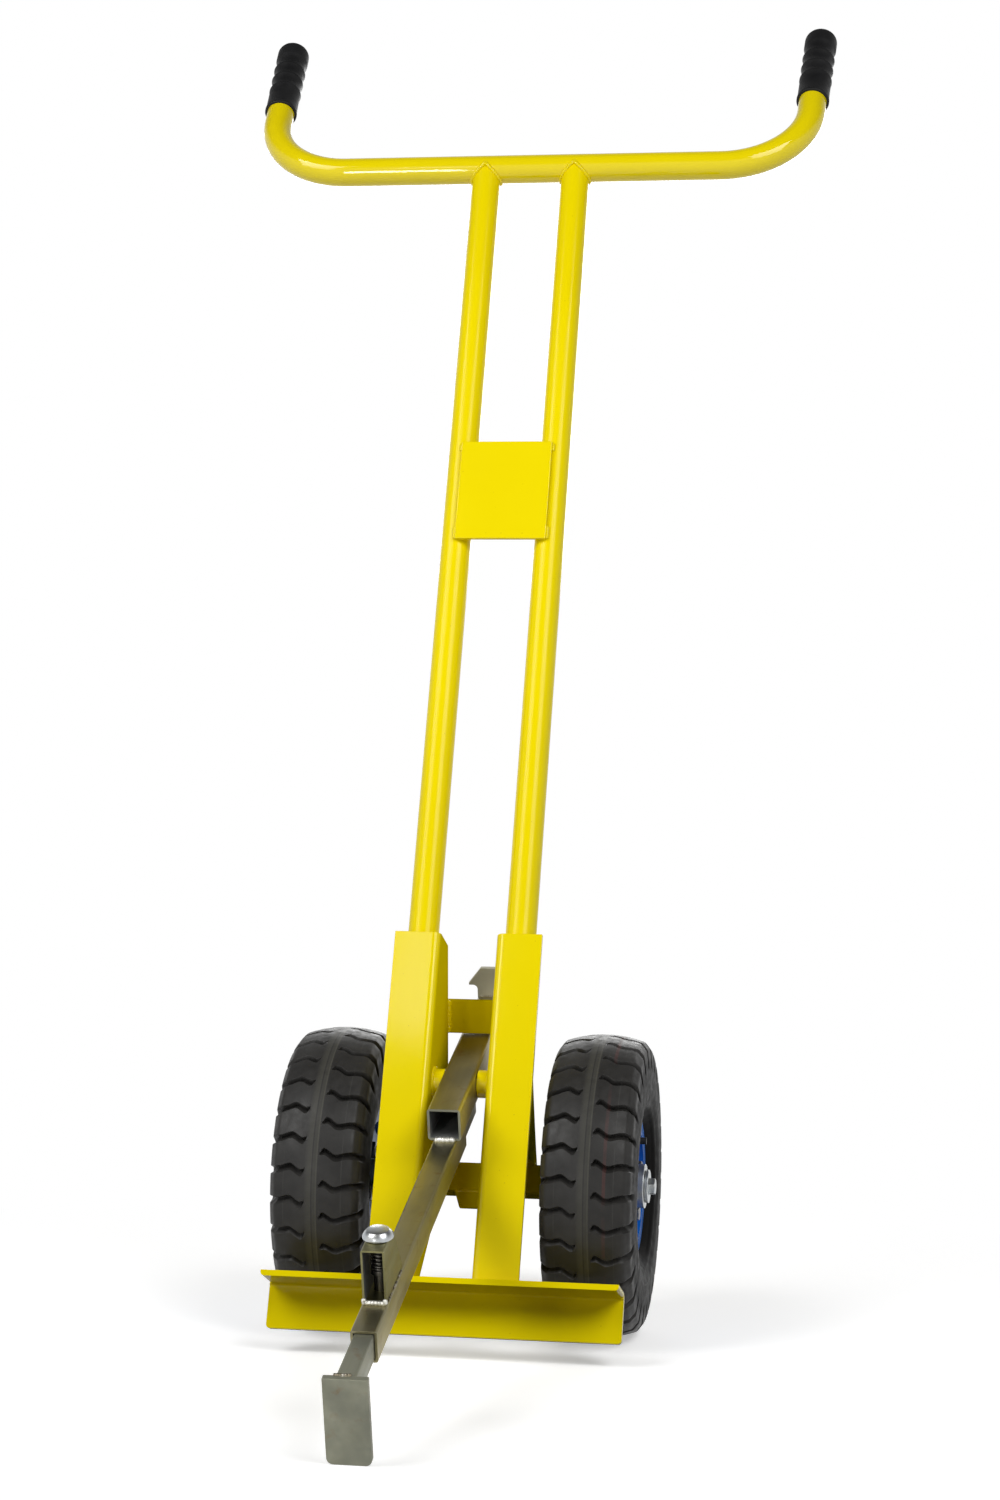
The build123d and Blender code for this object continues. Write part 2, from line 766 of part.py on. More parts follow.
# Arm: upper square tube on its pivot bush
bush_radius = pivot_diameter / 2 + axle_running_fit + bush_wall
with BuildPart() as arm_upper_tube:
    with BuildSketch(arm_section(-arm_tail)):
        RectangleRounded(arm_tube, arm_tube, arm_tube_round)
        bore = arm_tube - 2 * arm_tube_wall
        Rectangle(bore, bore, mode=Mode.SUBTRACT)
    extrude(amount=arm_tail + arm_front)
    with BuildSketch(arm_side()):
        Circle(bush_radius + bearing_fit)
    extrude(amount=arm_tube, both=True, mode=Mode.SUBTRACT)
finish(arm_upper_tube.part, "arm_upper_tube")

with BuildPart() as pivot_bush:
    with BuildSketch(arm_side()):
        Circle(bush_radius)
        Circle(pivot_diameter / 2 + axle_running_fit, mode=Mode.SUBTRACT)
    extrude(amount=arm_tube / 2, both=True)
finish(pivot_bush.part, "pivot_bush")

# Outer tube under it, drilled for the lock pin
with BuildPart() as arm_outer_tube:
    with BuildSketch(arm_section(outer_rear, outer_axis)):
        RectangleRounded(outer_width, outer_height, outer_round)
        Rectangle(outer_width - 2 * outer_wall, outer_height - 2 * outer_wall, mode=Mode.SUBTRACT)
    extrude(amount=outer_front - outer_rear)
    with BuildSketch(pin_section(outer_axis)):
        Circle(pin_diameter / 2 + pin_fit)
    extrude(amount=outer_height, mode=Mode.SUBTRACT)
finish(arm_outer_tube.part, "arm_outer_tube")

# Tail plate across the end of the upper tube, with a hook on each side
head_low = tail_top - tail_head_height
half_head = tail_head_width / 2
half_tube = arm_tube / 2
with BuildPart() as tail_plate:
    with BuildSketch(arm_section(-arm_tail)):
        with BuildLine():
            line = Polyline((0, -half_tube), (half_tube, -half_tube), (half_tube, head_low - tail_root_radius))
            line = TangentArc(line @ 1, (half_tube + tail_root_radius, head_low), tangent=(0, 1))
            Polyline(
                line @ 1,
                (half_head, head_low),
                (half_head, head_low + tail_tip),
                (tail_head_top_width / 2, tail_top),
                (0, tail_top),
                (0, -half_tube),
            )
        make_face()
        mirror(about=Plane.YZ)
    extrude(amount=-tail_thickness)
finish(tail_plate.part, "tail_plate")

# Telescopic bar, with a row of lock holes in its top
with BuildPart() as inner_bar:
    with BuildSketch(arm_section(inner_rear, outer_axis)):
        RectangleRounded(inner_width, inner_height, inner_round)
    extrude(amount=jaw_reach - jaw_thickness - inner_rear)
    for hole in range(lock_hole_count):
        hole_centre = pin_section(outer_axis).origin - arm_dir * (hole * lock_hole_step)
        with BuildSketch(Plane(origin=hole_centre, x_dir=side_dir, z_dir=arm_top_dir)):
            Circle(pin_diameter / 2 + pin_fit)
        extrude(amount=inner_height, mode=Mode.SUBTRACT)
finish(inner_bar.part, "inner_bar")

# Jaw plate across the end of the bar
with BuildPart() as jaw_plate:
    with BuildSketch(arm_section(jaw_reach - jaw_thickness)):
        with Locations((0, inner_top - jaw_height / 2)):
            Rectangle(jaw_width, jaw_height)
    extrude(amount=jaw_thickness)
    low_corners = jaw_plate.edges().filter_by(Axis((0, 0, 0), arm_dir)).group_by(Axis((0, 0, 0), arm_top_dir))[0]
    fillet(low_corners, jaw_corner)
finish(jaw_plate.part, "jaw_plate")

# Lock housing: a length of rectangular tube, cut square in front and slanted behind
with BuildPart() as lock_housing:
    with BuildSketch(arm_section(housing_front, outer_top + housing_height / 2)):
        RectangleRounded(housing_width, housing_height, outer_round)
        Rectangle(housing_width - 2 * housing_wall, housing_height - 2 * housing_wall, mode=Mode.SUBTRACT)
    extrude(amount=-housing_foot_length)
    with BuildSketch(arm_side()):
        with BuildLine():
            Polyline(
                (housing_front - housing_top_length, housing_top),
                (housing_front - housing_foot_length, outer_top),
                (housing_front - housing_foot_length, housing_top),
                close=True,
            )
        make_face()
    extrude(amount=housing_width, both=True, mode=Mode.SUBTRACT)
    with BuildSketch(pin_section(outer_axis)):
        Circle(pin_diameter / 2 + pin_fit)
    extrude(amount=housing_height + outer_height, mode=Mode.SUBTRACT)
finish(lock_housing.part, "lock_housing")

# Lock pin with a bevelled mushroom head
tip_above = inner_top + pin_tip_gap
head_seat = housing_top + stop_gap
with BuildPart() as lock_pin:
    with BuildSketch(pin_section(tip_above)):
        Circle(pin_diameter / 2)
    extrude(amount=head_seat - tip_above)
    with BuildSketch(Plane(origin=pin_section(head_seat).origin, x_dir=side_dir, z_dir=arm_dir)):
        with BuildLine():
            line = Line((0, 0), (pin_head_radius, 0))
            line = Line(line @ 1, (pin_head_radius, pin_head_height / 4))
            line = ThreePointArc(
                line @ 1,
                ((pin_head_radius + pin_head_flat) / 2 + pin_head_height / 8, pin_head_height * 0.7),
                (pin_head_flat, pin_head_height),
            )
            Polyline(line @ 1, (0, pin_head_height), (0, 0))
        make_face()
    revolve(axis=Axis(pin_section(head_seat).origin, arm_top_dir))
finish(lock_pin.part, "lock_pin")

# Collar on the pin that the spring pushes down
collar_low = housing_floor + collar_lift
with BuildPart() as pin_collar:
    with BuildSketch(pin_section(collar_low)):
        Circle(collar_radius)
        Circle(pin_diameter / 2, mode=Mode.SUBTRACT)
    extrude(amount=collar_height)
finish(pin_collar.part, "pin_collar")

# Coil spring between the collar and the housing's top wall
spring_low = collar_low + collar_height + spring_gap + spring_wire / 2
spring_high = housing_top - housing_wall - spring_gap - spring_wire / 2
spring_length = spring_high - spring_low
spring_base = pin_section(spring_low)
with BuildPart() as lock_spring:
    with BuildLine() as coil:
        Helix(
            pitch=spring_length / spring_turns,
            height=spring_length,
            radius=spring_radius,
            center=spring_base.origin,
            direction=arm_top_dir,
        )
    with BuildSketch(Plane(origin=coil.line @ 0, z_dir=coil.line % 0)):
        Circle(spring_wire / 2)
    sweep()
finish(lock_spring.part, "lock_spring")

print("lean", round(degrees(lean), 2), "axle at", axle_axis.position, "pivot at", pivot)
print("arm direction", arm_dir, "arm top", arm_top_dir, "up the uprights", up_dir)
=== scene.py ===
import json
import math
import random

import bmesh
import bpy
from mathutils import Matrix, Vector


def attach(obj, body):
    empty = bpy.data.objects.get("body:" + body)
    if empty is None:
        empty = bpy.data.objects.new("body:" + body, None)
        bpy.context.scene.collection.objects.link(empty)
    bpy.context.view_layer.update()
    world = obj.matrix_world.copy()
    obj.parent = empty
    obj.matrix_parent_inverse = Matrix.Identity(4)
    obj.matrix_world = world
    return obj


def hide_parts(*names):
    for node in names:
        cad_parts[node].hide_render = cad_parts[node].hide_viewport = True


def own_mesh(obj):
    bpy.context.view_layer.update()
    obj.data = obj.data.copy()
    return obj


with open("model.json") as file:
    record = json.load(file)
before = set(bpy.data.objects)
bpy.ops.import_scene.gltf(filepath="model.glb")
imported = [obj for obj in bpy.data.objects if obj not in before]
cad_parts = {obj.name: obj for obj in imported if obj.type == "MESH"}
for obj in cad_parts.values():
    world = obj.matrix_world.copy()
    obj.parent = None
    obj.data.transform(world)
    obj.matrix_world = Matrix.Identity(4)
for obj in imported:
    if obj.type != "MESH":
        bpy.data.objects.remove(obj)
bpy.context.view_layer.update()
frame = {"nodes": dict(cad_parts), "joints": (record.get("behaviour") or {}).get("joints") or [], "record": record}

nodes = frame["nodes"]
joints = {joint["name"]: joint for joint in frame["joints"]}
bodies = frame["record"]["behaviour"]["bodies"]
body_of = {node: body for body, members in bodies.items() for node in members}
slot_of = {part["node"]: part["material_slot"] for part in frame["record"]["subparts"]}
scene = bpy.context.scene

TURN = 2 * math.pi
MM = 0.001
HANDS = ((-1, "left"), (1, "right"))

# Places taken from the frame
AXLE = Vector(joints["right_wheel_spin"]["pos_m"])
HALF_TRACK = AXLE.x / MM
AXLE.x = 0
PIVOT = Vector(joints["arm_swing"]["pos_m"])
ARM = Vector(joints["arm_extend"]["axis"])
ARM_TOP = Vector(joints["lock_pin_lift"]["axis"])
ARM_SLOPE = math.asin(-ARM.z)

# The cart's own directions. In them the arm falls more steeply, because the cart leans back
ARM_FALL = math.radians(38)
LEAN = ARM_FALL - ARM_SLOPE
SIDE = Vector((1, 0, 0))
BACK = Vector((0, math.cos(LEAN), -math.sin(LEAN)))
UP = Vector((0, math.sin(LEAN), math.cos(LEAN)))

# Sizes of the cart, in millimetres, in its own frame of side, back and up
AXLE_BACK = 112.0
AXLE_UP = 110.0
TUBE_RADIUS = 13.45
UPRIGHT_SIDE = 42.95
UPRIGHT_BACK = 18.45
UPRIGHT_FOOT = 205.0
BAR_UP = 1073.5
HANDLE_HALF = 260.5
HANDLE_TILT = math.radians(21)
HANDLE_SPLAY = math.radians(2)
GRIP_START = 97.0
GRIP_COLLAR = 33.0
GRIP_LIP = 0.7
GRIP_STEP = 0.5
GRIP_RINGS = 3
GRIP_PITCH = 17.0
GRIP_DEPTH = 1.8
GRIP_RADIUS = 15.85
GRIP_END = 201.0
GRIP_ROUND = 8.0
GRIP_HOLLOW = 0.8
PLATE = 5.0
WEB_INSIDE = 24.5
WEB_OUTSIDE = WEB_INSIDE + PLATE
FLANGE_OUTSIDE = 64.5
FLANGE_TOP = 301.5
BRACE_HALF = 42.0
BRACE_LOW = 676.0
BRACE_HIGH = 774.0
BEAM_HALF = 12.5
BEAM_FRONT = AXLE_BACK - BEAM_HALF
BEAM_REAR = AXLE_BACK + BEAM_HALF
BEAM_TOP = AXLE_UP + BEAM_HALF
BEAM_LOW = AXLE_UP - BEAM_HALF
GUSSET_OUTSIDE = 55.0
GUSSET_WELD_TOP = 196.0
TAB_HALF = 13.0
BOSS_RADIUS = 12.0
PIVOT_RADIUS = 6.0
PIVOT_FLATS = 18.0
PIVOT_HEAD = 7.5
PIVOT_NUT = 10.0
PIVOT_END = 3.0
PIVOT_PROUD = 1.6
PIVOT_WASHER = 2.5

# The stop plate lies on the webs' rear edges, between two places given as back and up
STOP_TOP = (60.5, 258.07)
STOP_LOW = (73.09, 231.4)

# Wheels, as across the tyre and out from the axle
TYRE_RADIUS = 130.0
TYRE_HALF = 40.0
BULGE = 84.0
SHOULDER = (38.0, 118.0)
CROWN_EDGE = (33.0, 124.5)
TYRE_BEAD = (27.4, 61.0)
TYRE_BEAD_LOW = 50.6
TREAD_PITCHES = 30
TREAD_DEPTH = 5.0
TREAD_PHASE = {"left": math.radians(-4.8), "right": math.radians(-5.3)}
RIB_HALF = 6.0
HUB_END = 37.3
AXLE_SCREW_FLATS = 13.0
AXLE_SCREW_HEAD = 5.5
AXLE_SCREW_RADIUS = 4.0
AXLE_SCREW_LENGTH = 28.0
AXLE_WASHER = 3.0
END_PLAY = 0.3
RIM_BOLTS = 4
BOLT_CIRCLE = 27.0
BOLT_REACH = 26.0
BOLT_FLATS = 13.0
BOLT_HEAD = 5.3
BOLT_NUT = 6.5
BOLT_END = 2.2
BOLT_PROUD = 1.2
BOLT_RADIUS = 4.0

# Arm, as along it from the pivot and above its axis
ARM_HALF = 14.0
ARM_FRONT = 86.0
TAIL_WELD = -165.4
OUTER_HALF = 10.0
OUTER_TOP = -14.0
OUTER_REAR = 43.0
INNER_HALF = 7.5
INNER_TOP = -16.5
JAW_BACK = 476.0
HOUSING_FRONT = 374.5
HOUSING_FOOT = 61.0
HOUSING_HALF = 9.0
PIN_ALONG = 351.5
PIN_RADIUS = 5.0
PIN_NECK = 4.5
PIN_TIP = -16.0
HEAD_SEAT = 29.8
HEAD_RADIUS = 11.9
HEAD_FLAT = 8.4
HEAD_HEIGHT = 6.0
SPRING_LOW = 4.7
SPRING_HIGH = 27.8
SPRING_RADIUS = 6.1
SPRING_WIRE = 0.75
SPRING_TURNS = 6

START = AXLE - (BACK * AXLE_BACK + UP * AXLE_UP) * MM


def cart_way(side, back, up):
    """World direction of one given in the cart's frame."""
    return SIDE * side + BACK * back + UP * up


def in_cart(side, back, up):
    """World place of a point given in the cart's frame."""
    return START + cart_way(side, back, up) * MM


def on_arm(side, along, above):
    """World place of a point given along the arm."""
    return PIVOT + (SIDE * side + ARM * along + ARM_TOP * above) * MM


# Camera: its focal length in pixels of a picture this high, and its place in the cart's frame
PICTURE_HEIGHT = 1500
FOCAL_LENGTH = 2960.7
SENSOR = 36.0
CAMERA_PLACE = (445.6, -2409.3, -440.9)
CAMERA_AIM = (-0.16472, 0.92259, 0.34885)
CAMERA_TOP = (-0.01339, -0.35574, 0.93449)

camera_data = bpy.data.cameras.new("camera")
camera = bpy.data.objects.new("camera", camera_data)
scene.collection.objects.link(camera)
scene.camera = camera
camera_data.sensor_fit = "VERTICAL"
camera_data.sensor_height = SENSOR
camera_data.lens = SENSOR * FOCAL_LENGTH / PICTURE_HEIGHT
camera_data.clip_start = 0.05
camera_data.clip_end = 60
forward = cart_way(*CAMERA_AIM).normalized()
right = forward.cross(cart_way(*CAMERA_TOP)).normalized()
above = right.cross(forward)
aim = Matrix((right, above, -forward)).transposed().to_4x4()
camera.matrix_world = Matrix.Translation(in_cart(*CAMERA_PLACE)) @ aim

scene.view_settings.view_transform = "Standard"


class Nodes:
    """A node tree, with short calls for the nodes it is built from."""

    def __init__(self, tree):
        self.tree = tree
        self.here = self.node("ShaderNodeTexCoord").outputs["Object"]

    def node(self, kind, *values, **settings):
        """Add a node, and give its first inputs values or links."""
        node = self.tree.nodes.new(kind)
        for setting, value in settings.items():
            setattr(node, setting, value)
        for socket, value in zip(node.inputs, values):
            self.join(socket, value)
        return node

    def join(self, socket, value):
        """Link an output to a socket, or set the socket to a plain value."""
        if isinstance(value, bpy.types.NodeSocket):
            self.tree.links.new(value, socket)
        elif socket.type == "RGBA":
            socket.default_value = (*value, 1)
        else:
            socket.default_value = value

    def noise(self, scale, detail=3.0, stretch=None, tilt=0.0):
        """Cloudy noise, optionally drawn out along tilted axes."""
        here = self.here
        if stretch:
            mapping = self.node("ShaderNodeMapping", here, vector_type="TEXTURE")
            mapping.inputs["Rotation"].default_value = (tilt, 0, 0)
            mapping.inputs["Scale"].default_value = stretch
            here = mapping.outputs["Vector"]
        node = self.node("ShaderNodeTexNoise", here)
        node.inputs["Scale"].default_value = scale
        node.inputs["Detail"].default_value = detail
        return node.outputs[0]

    def ramp(self, factor, *stops):
        """Colours or grey levels spread over a factor."""
        node = self.node("ShaderNodeValToRGB", factor)
        elements = node.color_ramp.elements
        elements[0].position = stops[0][0]
        elements[1].position = stops[-1][0]
        for position, level in stops[1:-1]:
            elements.new(position)
        for element, (position, level) in zip(elements, stops):
            colour = level if isinstance(level, tuple) else (level, level, level)
            element.color = (*colour, 1)
        return node.outputs["Color"]

    def mix(self, factor, first, second):
        """Blend two colours by a factor."""
        node = self.node("ShaderNodeMix", data_type="RGBA")
        self.join(node.inputs[0], factor)
        colours = [socket for socket in node.inputs if socket.type == "RGBA"]
        self.join(colours[0], first)
        self.join(colours[1], second)
        return [socket for socket in node.outputs if socket.type == "RGBA"][0]

    def math(self, operation, *values):
        """One step of arithmetic."""
        return self.node("ShaderNodeMath", *values, operation=operation).outputs["Value"]

    def length(self, vector):
        """Length of a vector."""
        return self.node("ShaderNodeVectorMath", vector, operation="LENGTH").outputs["Value"]

    def axis(self, name, vector=None):
        """One coordinate of a vector, or of the piece's own space."""
        here = self.here if vector is None else vector
        return self.node("ShaderNodeSeparateXYZ", here).outputs[name]


class Look(Nodes):
    """A procedural material."""

    def __init__(self, name, **sockets):
        self.material = bpy.data.materials.new(name)
        self.material.use_nodes = True
        super().__init__(self.material.node_tree)
        self.surface = self.tree.nodes["Principled BSDF"]
        for socket, value in sockets.items():
            self.set(socket.replace("_", " "), value)

    def set(self, socket, value):
        """Set or link one of the surface's own sockets."""
        self.join(self.surface.inputs[socket], value)

    def bump(self, height, strength, distance):
        """Fine relief from a height."""
        node = self.node("ShaderNodeBump")
        node.inputs["Strength"].default_value = strength
        node.inputs["Distance"].default_value = distance
        self.join(node.inputs["Height"], height)
        self.set("Normal", node.outputs["Normal"])


looks = {}


def yellow_paint(name, gloss, rough, depth):
    """Yellow paint: an even coat in slow waves and orange peel, with a few specks."""
    look = Look(name, Specular_IOR_Level=gloss)
    thin = (0.82 * depth, 0.655 * depth, 0.0003)
    thick = (0.85 * depth, 0.685 * depth, 0.0004)
    coat = look.ramp(look.noise(6, 4), (0.3, thin), (0.7, thick))
    specks = look.ramp(look.noise(420, 1), (0.77, 0.0), (0.8, 0.5))
    look.set("Base Color", look.mix(specks, coat, (0.52, 0.37, 0.004)))
    look.set("Roughness", look.ramp(look.noise(30, 3), (0.3, rough), (0.7, rough * 1.8)))
    waves = look.math("MULTIPLY", look.noise(34, 2), 40 * rough)
    look.bump(look.math("ADD", waves, look.noise(240, 2)), 0.014, 0.0005)
    return look.material


# Copies of the paint by gloss, roughness and a factor on its colour. The dull copy's colour is darkened to 0.8 as
# painted shade, for plates in recesses and the webs' inner faces
for name, gloss, rough, depth in (
    ("yellow_paint", 0.26, 0.06, 1.0),
    ("gloss_yellow", 0.4, 0.025, 1.0),
    ("tube_yellow", 0.12, 0.12, 1.0),
    ("satin_yellow", 0.07, 0.06, 1.0),
    ("dull_shaded_yellow", 0.0, 0.3, 0.8),
):
    looks[name] = yellow_paint(name, gloss, rough, depth)

# Blue rim paint, a little dusty
look = Look("blue_paint", Specular_IOR_Level=0.4)
coat = look.ramp(look.noise(14, 3), (0.3, (0.004, 0.13, 0.56)), (0.7, (0.006, 0.17, 0.66)))
dust = look.ramp(look.noise(160, 4), (0.62, 0.0), (0.8, 0.35))
look.set("Base Color", look.mix(dust, coat, (0.10, 0.16, 0.28)))
look.set("Roughness", look.ramp(look.noise(45, 3), (0.3, 0.22), (0.7, 0.4)))
look.bump(look.noise(500, 2), 0.08, 0.0004)
looks["blue_paint"] = look.material


def steel(name, dark, light, scale_tone, rough, metal):
    """Uncoated steel, drawn along the arm, with patches of mill scale and a little rust."""
    look = Look(name, Metallic=metal)
    drawn = look.noise(40, 4, (1, 14, 1), ARM_SLOPE)
    tone = look.ramp(drawn, (0.32, dark), (0.68, light))
    clouds = look.noise(26, 5, (1, 2.2, 1), ARM_SLOPE)
    patches = look.ramp(clouds, (0.47, 0.0), (0.62, 0.75))
    rust = look.ramp(look.noise(75, 4), (0.6, 0.0), (0.74, 0.5))
    tone = look.mix(patches, tone, scale_tone)
    look.set("Base Color", look.mix(rust, tone, (0.20, 0.115, 0.05)))
    polish = look.noise(60, 4, (1, 8, 1), ARM_SLOPE)
    look.set("Roughness", look.ramp(polish, (0.3, rough), (0.7, rough + 0.2)))
    look.bump(look.noise(380, 3, (1, 10, 1), ARM_SLOPE), 0.16, 0.0005)
    return look.material


for name, dark, light, scale_tone, rough, metal in (
    ("bare_steel", (0.28, 0.248, 0.12), (0.395, 0.353, 0.21), (0.225, 0.208, 0.13), 0.3, 1.0),
    ("housing_steel", (0.20, 0.188, 0.078), (0.29, 0.268, 0.135), (0.165, 0.158, 0.09), 0.3, 1.0),
    # The tail plate's steel is lighter: a painted reflection of the bright floor in front of it
    ("tail_steel_painted_reflection", (0.44, 0.42, 0.33), (0.56, 0.54, 0.44), (0.38, 0.36, 0.28), 0.4, 0.35),
    ("pale_steel", (0.205, 0.207, 0.153), (0.29, 0.292, 0.222), (0.178, 0.182, 0.143), 0.38, 0.7),
    ("tube_inside", (0.13, 0.135, 0.13), (0.20, 0.205, 0.195), (0.10, 0.10, 0.095), 0.45, 0.2),
):
    looks[name] = steel(name, dark, light, scale_tone, rough, metal)

# Weld metal: ripples with straw and brown heat tints
look = Look("weld_steel", Metallic=1.0)
brown, straw, bright = (0.10, 0.09, 0.08), (0.22, 0.19, 0.13), (0.42, 0.40, 0.35)
look.set("Base Color", look.ramp(look.noise(170, 3), (0.3, brown), (0.5, straw), (0.75, bright)))
look.set("Roughness", look.ramp(look.noise(120, 2), (0.3, 0.22), (0.7, 0.42)))
look.bump(look.noise(900, 2), 0.15, 0.0004)
looks["weld_steel"] = look.material

# Ground weld, bright and clean
look = Look("ground_weld", Metallic=0.75)
grey, bright = (0.42, 0.41, 0.36), (0.78, 0.77, 0.70)
look.set("Base Color", look.ramp(look.noise(200, 3), (0.3, grey), (0.6, bright)))
look.set("Roughness", look.ramp(look.noise(150, 2), (0.3, 0.25), (0.7, 0.45)))
look.bump(look.noise(700, 2), 0.2, 0.0005)
looks["ground_weld"] = look.material


def zinc_plate(name, rough):
    """Zinc plate, with a faint bluish bloom."""
    look = Look(name, Metallic=1.0)
    cold, middle, warm = (0.42, 0.45, 0.47), (0.47, 0.49, 0.495), (0.50, 0.505, 0.485)
    bloom = look.ramp(look.noise(90, 4), (0.3, cold), (0.5, middle), (0.7, warm))
    look.set("Base Color", bloom)
    look.set("Roughness", look.ramp(look.noise(70, 3), (0.3, rough), (0.7, rough * 1.33)))
    look.bump(look.noise(260, 2), 0.012, 0.0003)
    return look.material


looks["zinc"] = zinc_plate("zinc", 0.3)
looks["bright_zinc"] = zinc_plate("bright_zinc", 0.26)


def plain_metal(name, dark, light, rough):
    """A small machined part: tone and polish vary a little over it."""
    look = Look(name, Metallic=1.0)
    look.set("Base Color", look.ramp(look.noise(130, 4), (0.3, dark), (0.7, light)))
    look.set("Roughness", look.ramp(look.noise(80, 3), (0.3, rough), (0.7, rough + 0.16)))
    look.bump(look.noise(1000, 2), 0.1, 0.0003)
    return look.material


for name, dark, light, rough in (
    ("spring_steel", (0.13, 0.122, 0.108), (0.24, 0.225, 0.2), 0.3),
    ("dark_zinc", (0.15, 0.155, 0.16), (0.25, 0.255, 0.26), 0.28),
    ("bearing_steel", (0.42, 0.42, 0.43), (0.58, 0.58, 0.58), 0.24),
    ("bronze", (0.44, 0.29, 0.10), (0.62, 0.44, 0.20), 0.3),
):
    looks[name] = plain_metal(name, dark, light, rough)


def rubber(name, dark, light, rough, grain):
    """Moulded rubber with a fine grain."""
    look = Look(name, Specular_IOR_Level=0.2)
    look.set("Base Color", look.ramp(look.noise(40, 5), (0.3, dark), (0.7, light)))
    look.set("Roughness", look.ramp(look.noise(110, 4), (0.3, rough), (0.7, rough + 0.18)))
    look.bump(look.noise(grain, 3), 0.2, 0.0005)
    return look.material


for name, dark, light, rough, grain in (
    ("grip_rubber", (0.006, 0.006, 0.0065), (0.012, 0.012, 0.0125), 0.46, 900),
    ("tube_rubber", (0.012, 0.012, 0.012), (0.022, 0.022, 0.021), 0.5, 700),
):
    looks[name] = rubber(name, dark, light, rough, grain)

# Levels of the tyre's paler rib over the tyre's width, with a dark moulding line and a bright edge
RIB_LEVELS = (
    (0.419, 0.0), (0.456, 0.45), (0.494, 0.62), (0.4985, 0.0), (0.5065, 0.0),
    (0.511, 0.42), (0.540, 0.46), (0.546, 0.9), (0.553, 0.9), (0.560, 0.0),
)

# The tyre's seams and its stripe: places across it and half widths, in metres
SEAM_ACROSS = 0.0248
SEAM_HALF = 0.0004
STRIPE_ACROSS = 0.017
STRIPE_HALF = 0.0014


def tyre_rubber(name, striped):
    """Tyre rubber: a greyer rib, faint seams, dull walls darkened as painted shade, and a ring of dust and painted
    sheen.

    A striped tyre also has a worn stripe beside its rib.
    """
    look = Look(name)
    across = look.axis("X")
    flat = look.node("ShaderNodeVectorMath", look.here, (0, 1, 1), operation="MULTIPLY")
    share = look.math("MULTIPLY", look.length(flat.outputs["Vector"]), 1 / (TYRE_RADIUS * MM))
    dark, light = (0.0150, 0.0142, 0.0132), (0.0275, 0.0262, 0.0243)
    tone = look.ramp(look.noise(55, 5), (0.3, dark), (0.7, light))
    width_share = look.math("MULTIPLY_ADD", across, 0.5 / (TYRE_HALF * MM), 0.5)
    tone = look.mix(look.ramp(width_share, *RIB_LEVELS), tone, (0.060, 0.058, 0.047))
    seam = look.math("COMPARE", look.math("ABSOLUTE", across), SEAM_ACROSS, SEAM_HALF)
    seam = look.math("MULTIPLY", seam, look.ramp(look.noise(30, 3), (0.4, 0.0), (0.6, 0.4)))
    tone = look.mix(seam, tone, (0.055, 0.054, 0.050))
    # The walls' darker colour is painted shade, like that in the tyre's recess
    wall = look.ramp(share, (0.82, 0.9), (0.90, 0.0))
    tone = look.mix(wall, tone, (0.0105, 0.0102, 0.0098))
    # A thin lighter ring along the bulge's widest line: dust, and a painted sheen where the bulge catches the
    # light
    dust_and_sheen = look.ramp(share, (0.640, 0.0), (0.645, 0.8), (0.650, 0.8), (0.656, 0.0))
    dust_and_sheen = look.math("MULTIPLY", dust_and_sheen, look.ramp(look.noise(38, 5), (0.35, 0.3), (0.7, 1.0)))
    tone = look.mix(dust_and_sheen, tone, (0.065, 0.064, 0.061))
    if striped:
        stripe = look.math("COMPARE", across, STRIPE_ACROSS, STRIPE_HALF)
        worn = look.ramp(look.noise(26, 4), (0.42, 0.0), (0.62, 0.5))
        tone = look.mix(look.math("MULTIPLY", stripe, worn), tone, (0.078, 0.030, 0.027))
    look.set("Base Color", tone)
    look.set("Specular IOR Level", look.ramp(share, (0.83, 0.03), (0.93, 0.27)))
    look.set("Roughness", look.ramp(look.noise(140, 4), (0.3, 0.38), (0.7, 0.58)))
    look.bump(look.noise(800, 3), 0.16, 0.0005)
    return look.material


looks["tyre"] = tyre_rubber("tyre", False)
looks["striped_tyre"] = tyre_rubber("striped_tyre", True)

for node, item in nodes.items():
    item.data.materials.clear()
    item.data.materials.append(looks[slot_of[node]])
nodes["handlebar"].data.materials[0] = looks["gloss_yellow"]
for side, hand in HANDS:
    nodes[f"{hand}_upright"].data.materials[0] = looks["tube_yellow"]


def skin(shape, rings, loop=False):
    """Join rings of points into a tube that is closed at its ends, or run round into itself."""
    rows = [[shape.verts.new(point) for point in ring] for ring in rings]
    pairs = list(zip(rows, rows[1:]))
    if loop:
        pairs.append((rows[-1], rows[0]))
    else:
        shape.faces.new(rows[0])
        shape.faces.new(list(reversed(rows[-1])))
    for row, following in pairs:
        for column in range(len(row)):
            beside = (column + 1) % len(row)
            shape.faces.new((row[column], row[beside], following[beside], following[column]))


def smooth_mesh(name, shape, crease=35):
    """Turn a shape into a smooth mesh whose edges stay crisp past an angle in degrees."""
    bmesh.ops.recalc_face_normals(shape, faces=shape.faces)
    mesh = bpy.data.meshes.new(name)
    shape.to_mesh(mesh)
    shape.free()
    mesh.shade_smooth()
    mesh.set_sharp_from_angle(angle=math.radians(crease))
    return mesh


def place(name, mesh, body, look, hides=(), origin=None):
    """Add a mesh as a piece that rides on a body and stands for some nodes."""
    piece = bpy.data.objects.new(name, mesh)
    scene.collection.objects.link(piece)
    if origin:
        piece.location = origin
        bpy.context.view_layer.update()
    mesh.materials.clear()
    mesh.materials.append(looks[look])
    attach(piece, body)
    if hides:
        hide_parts(*hides)
    return piece


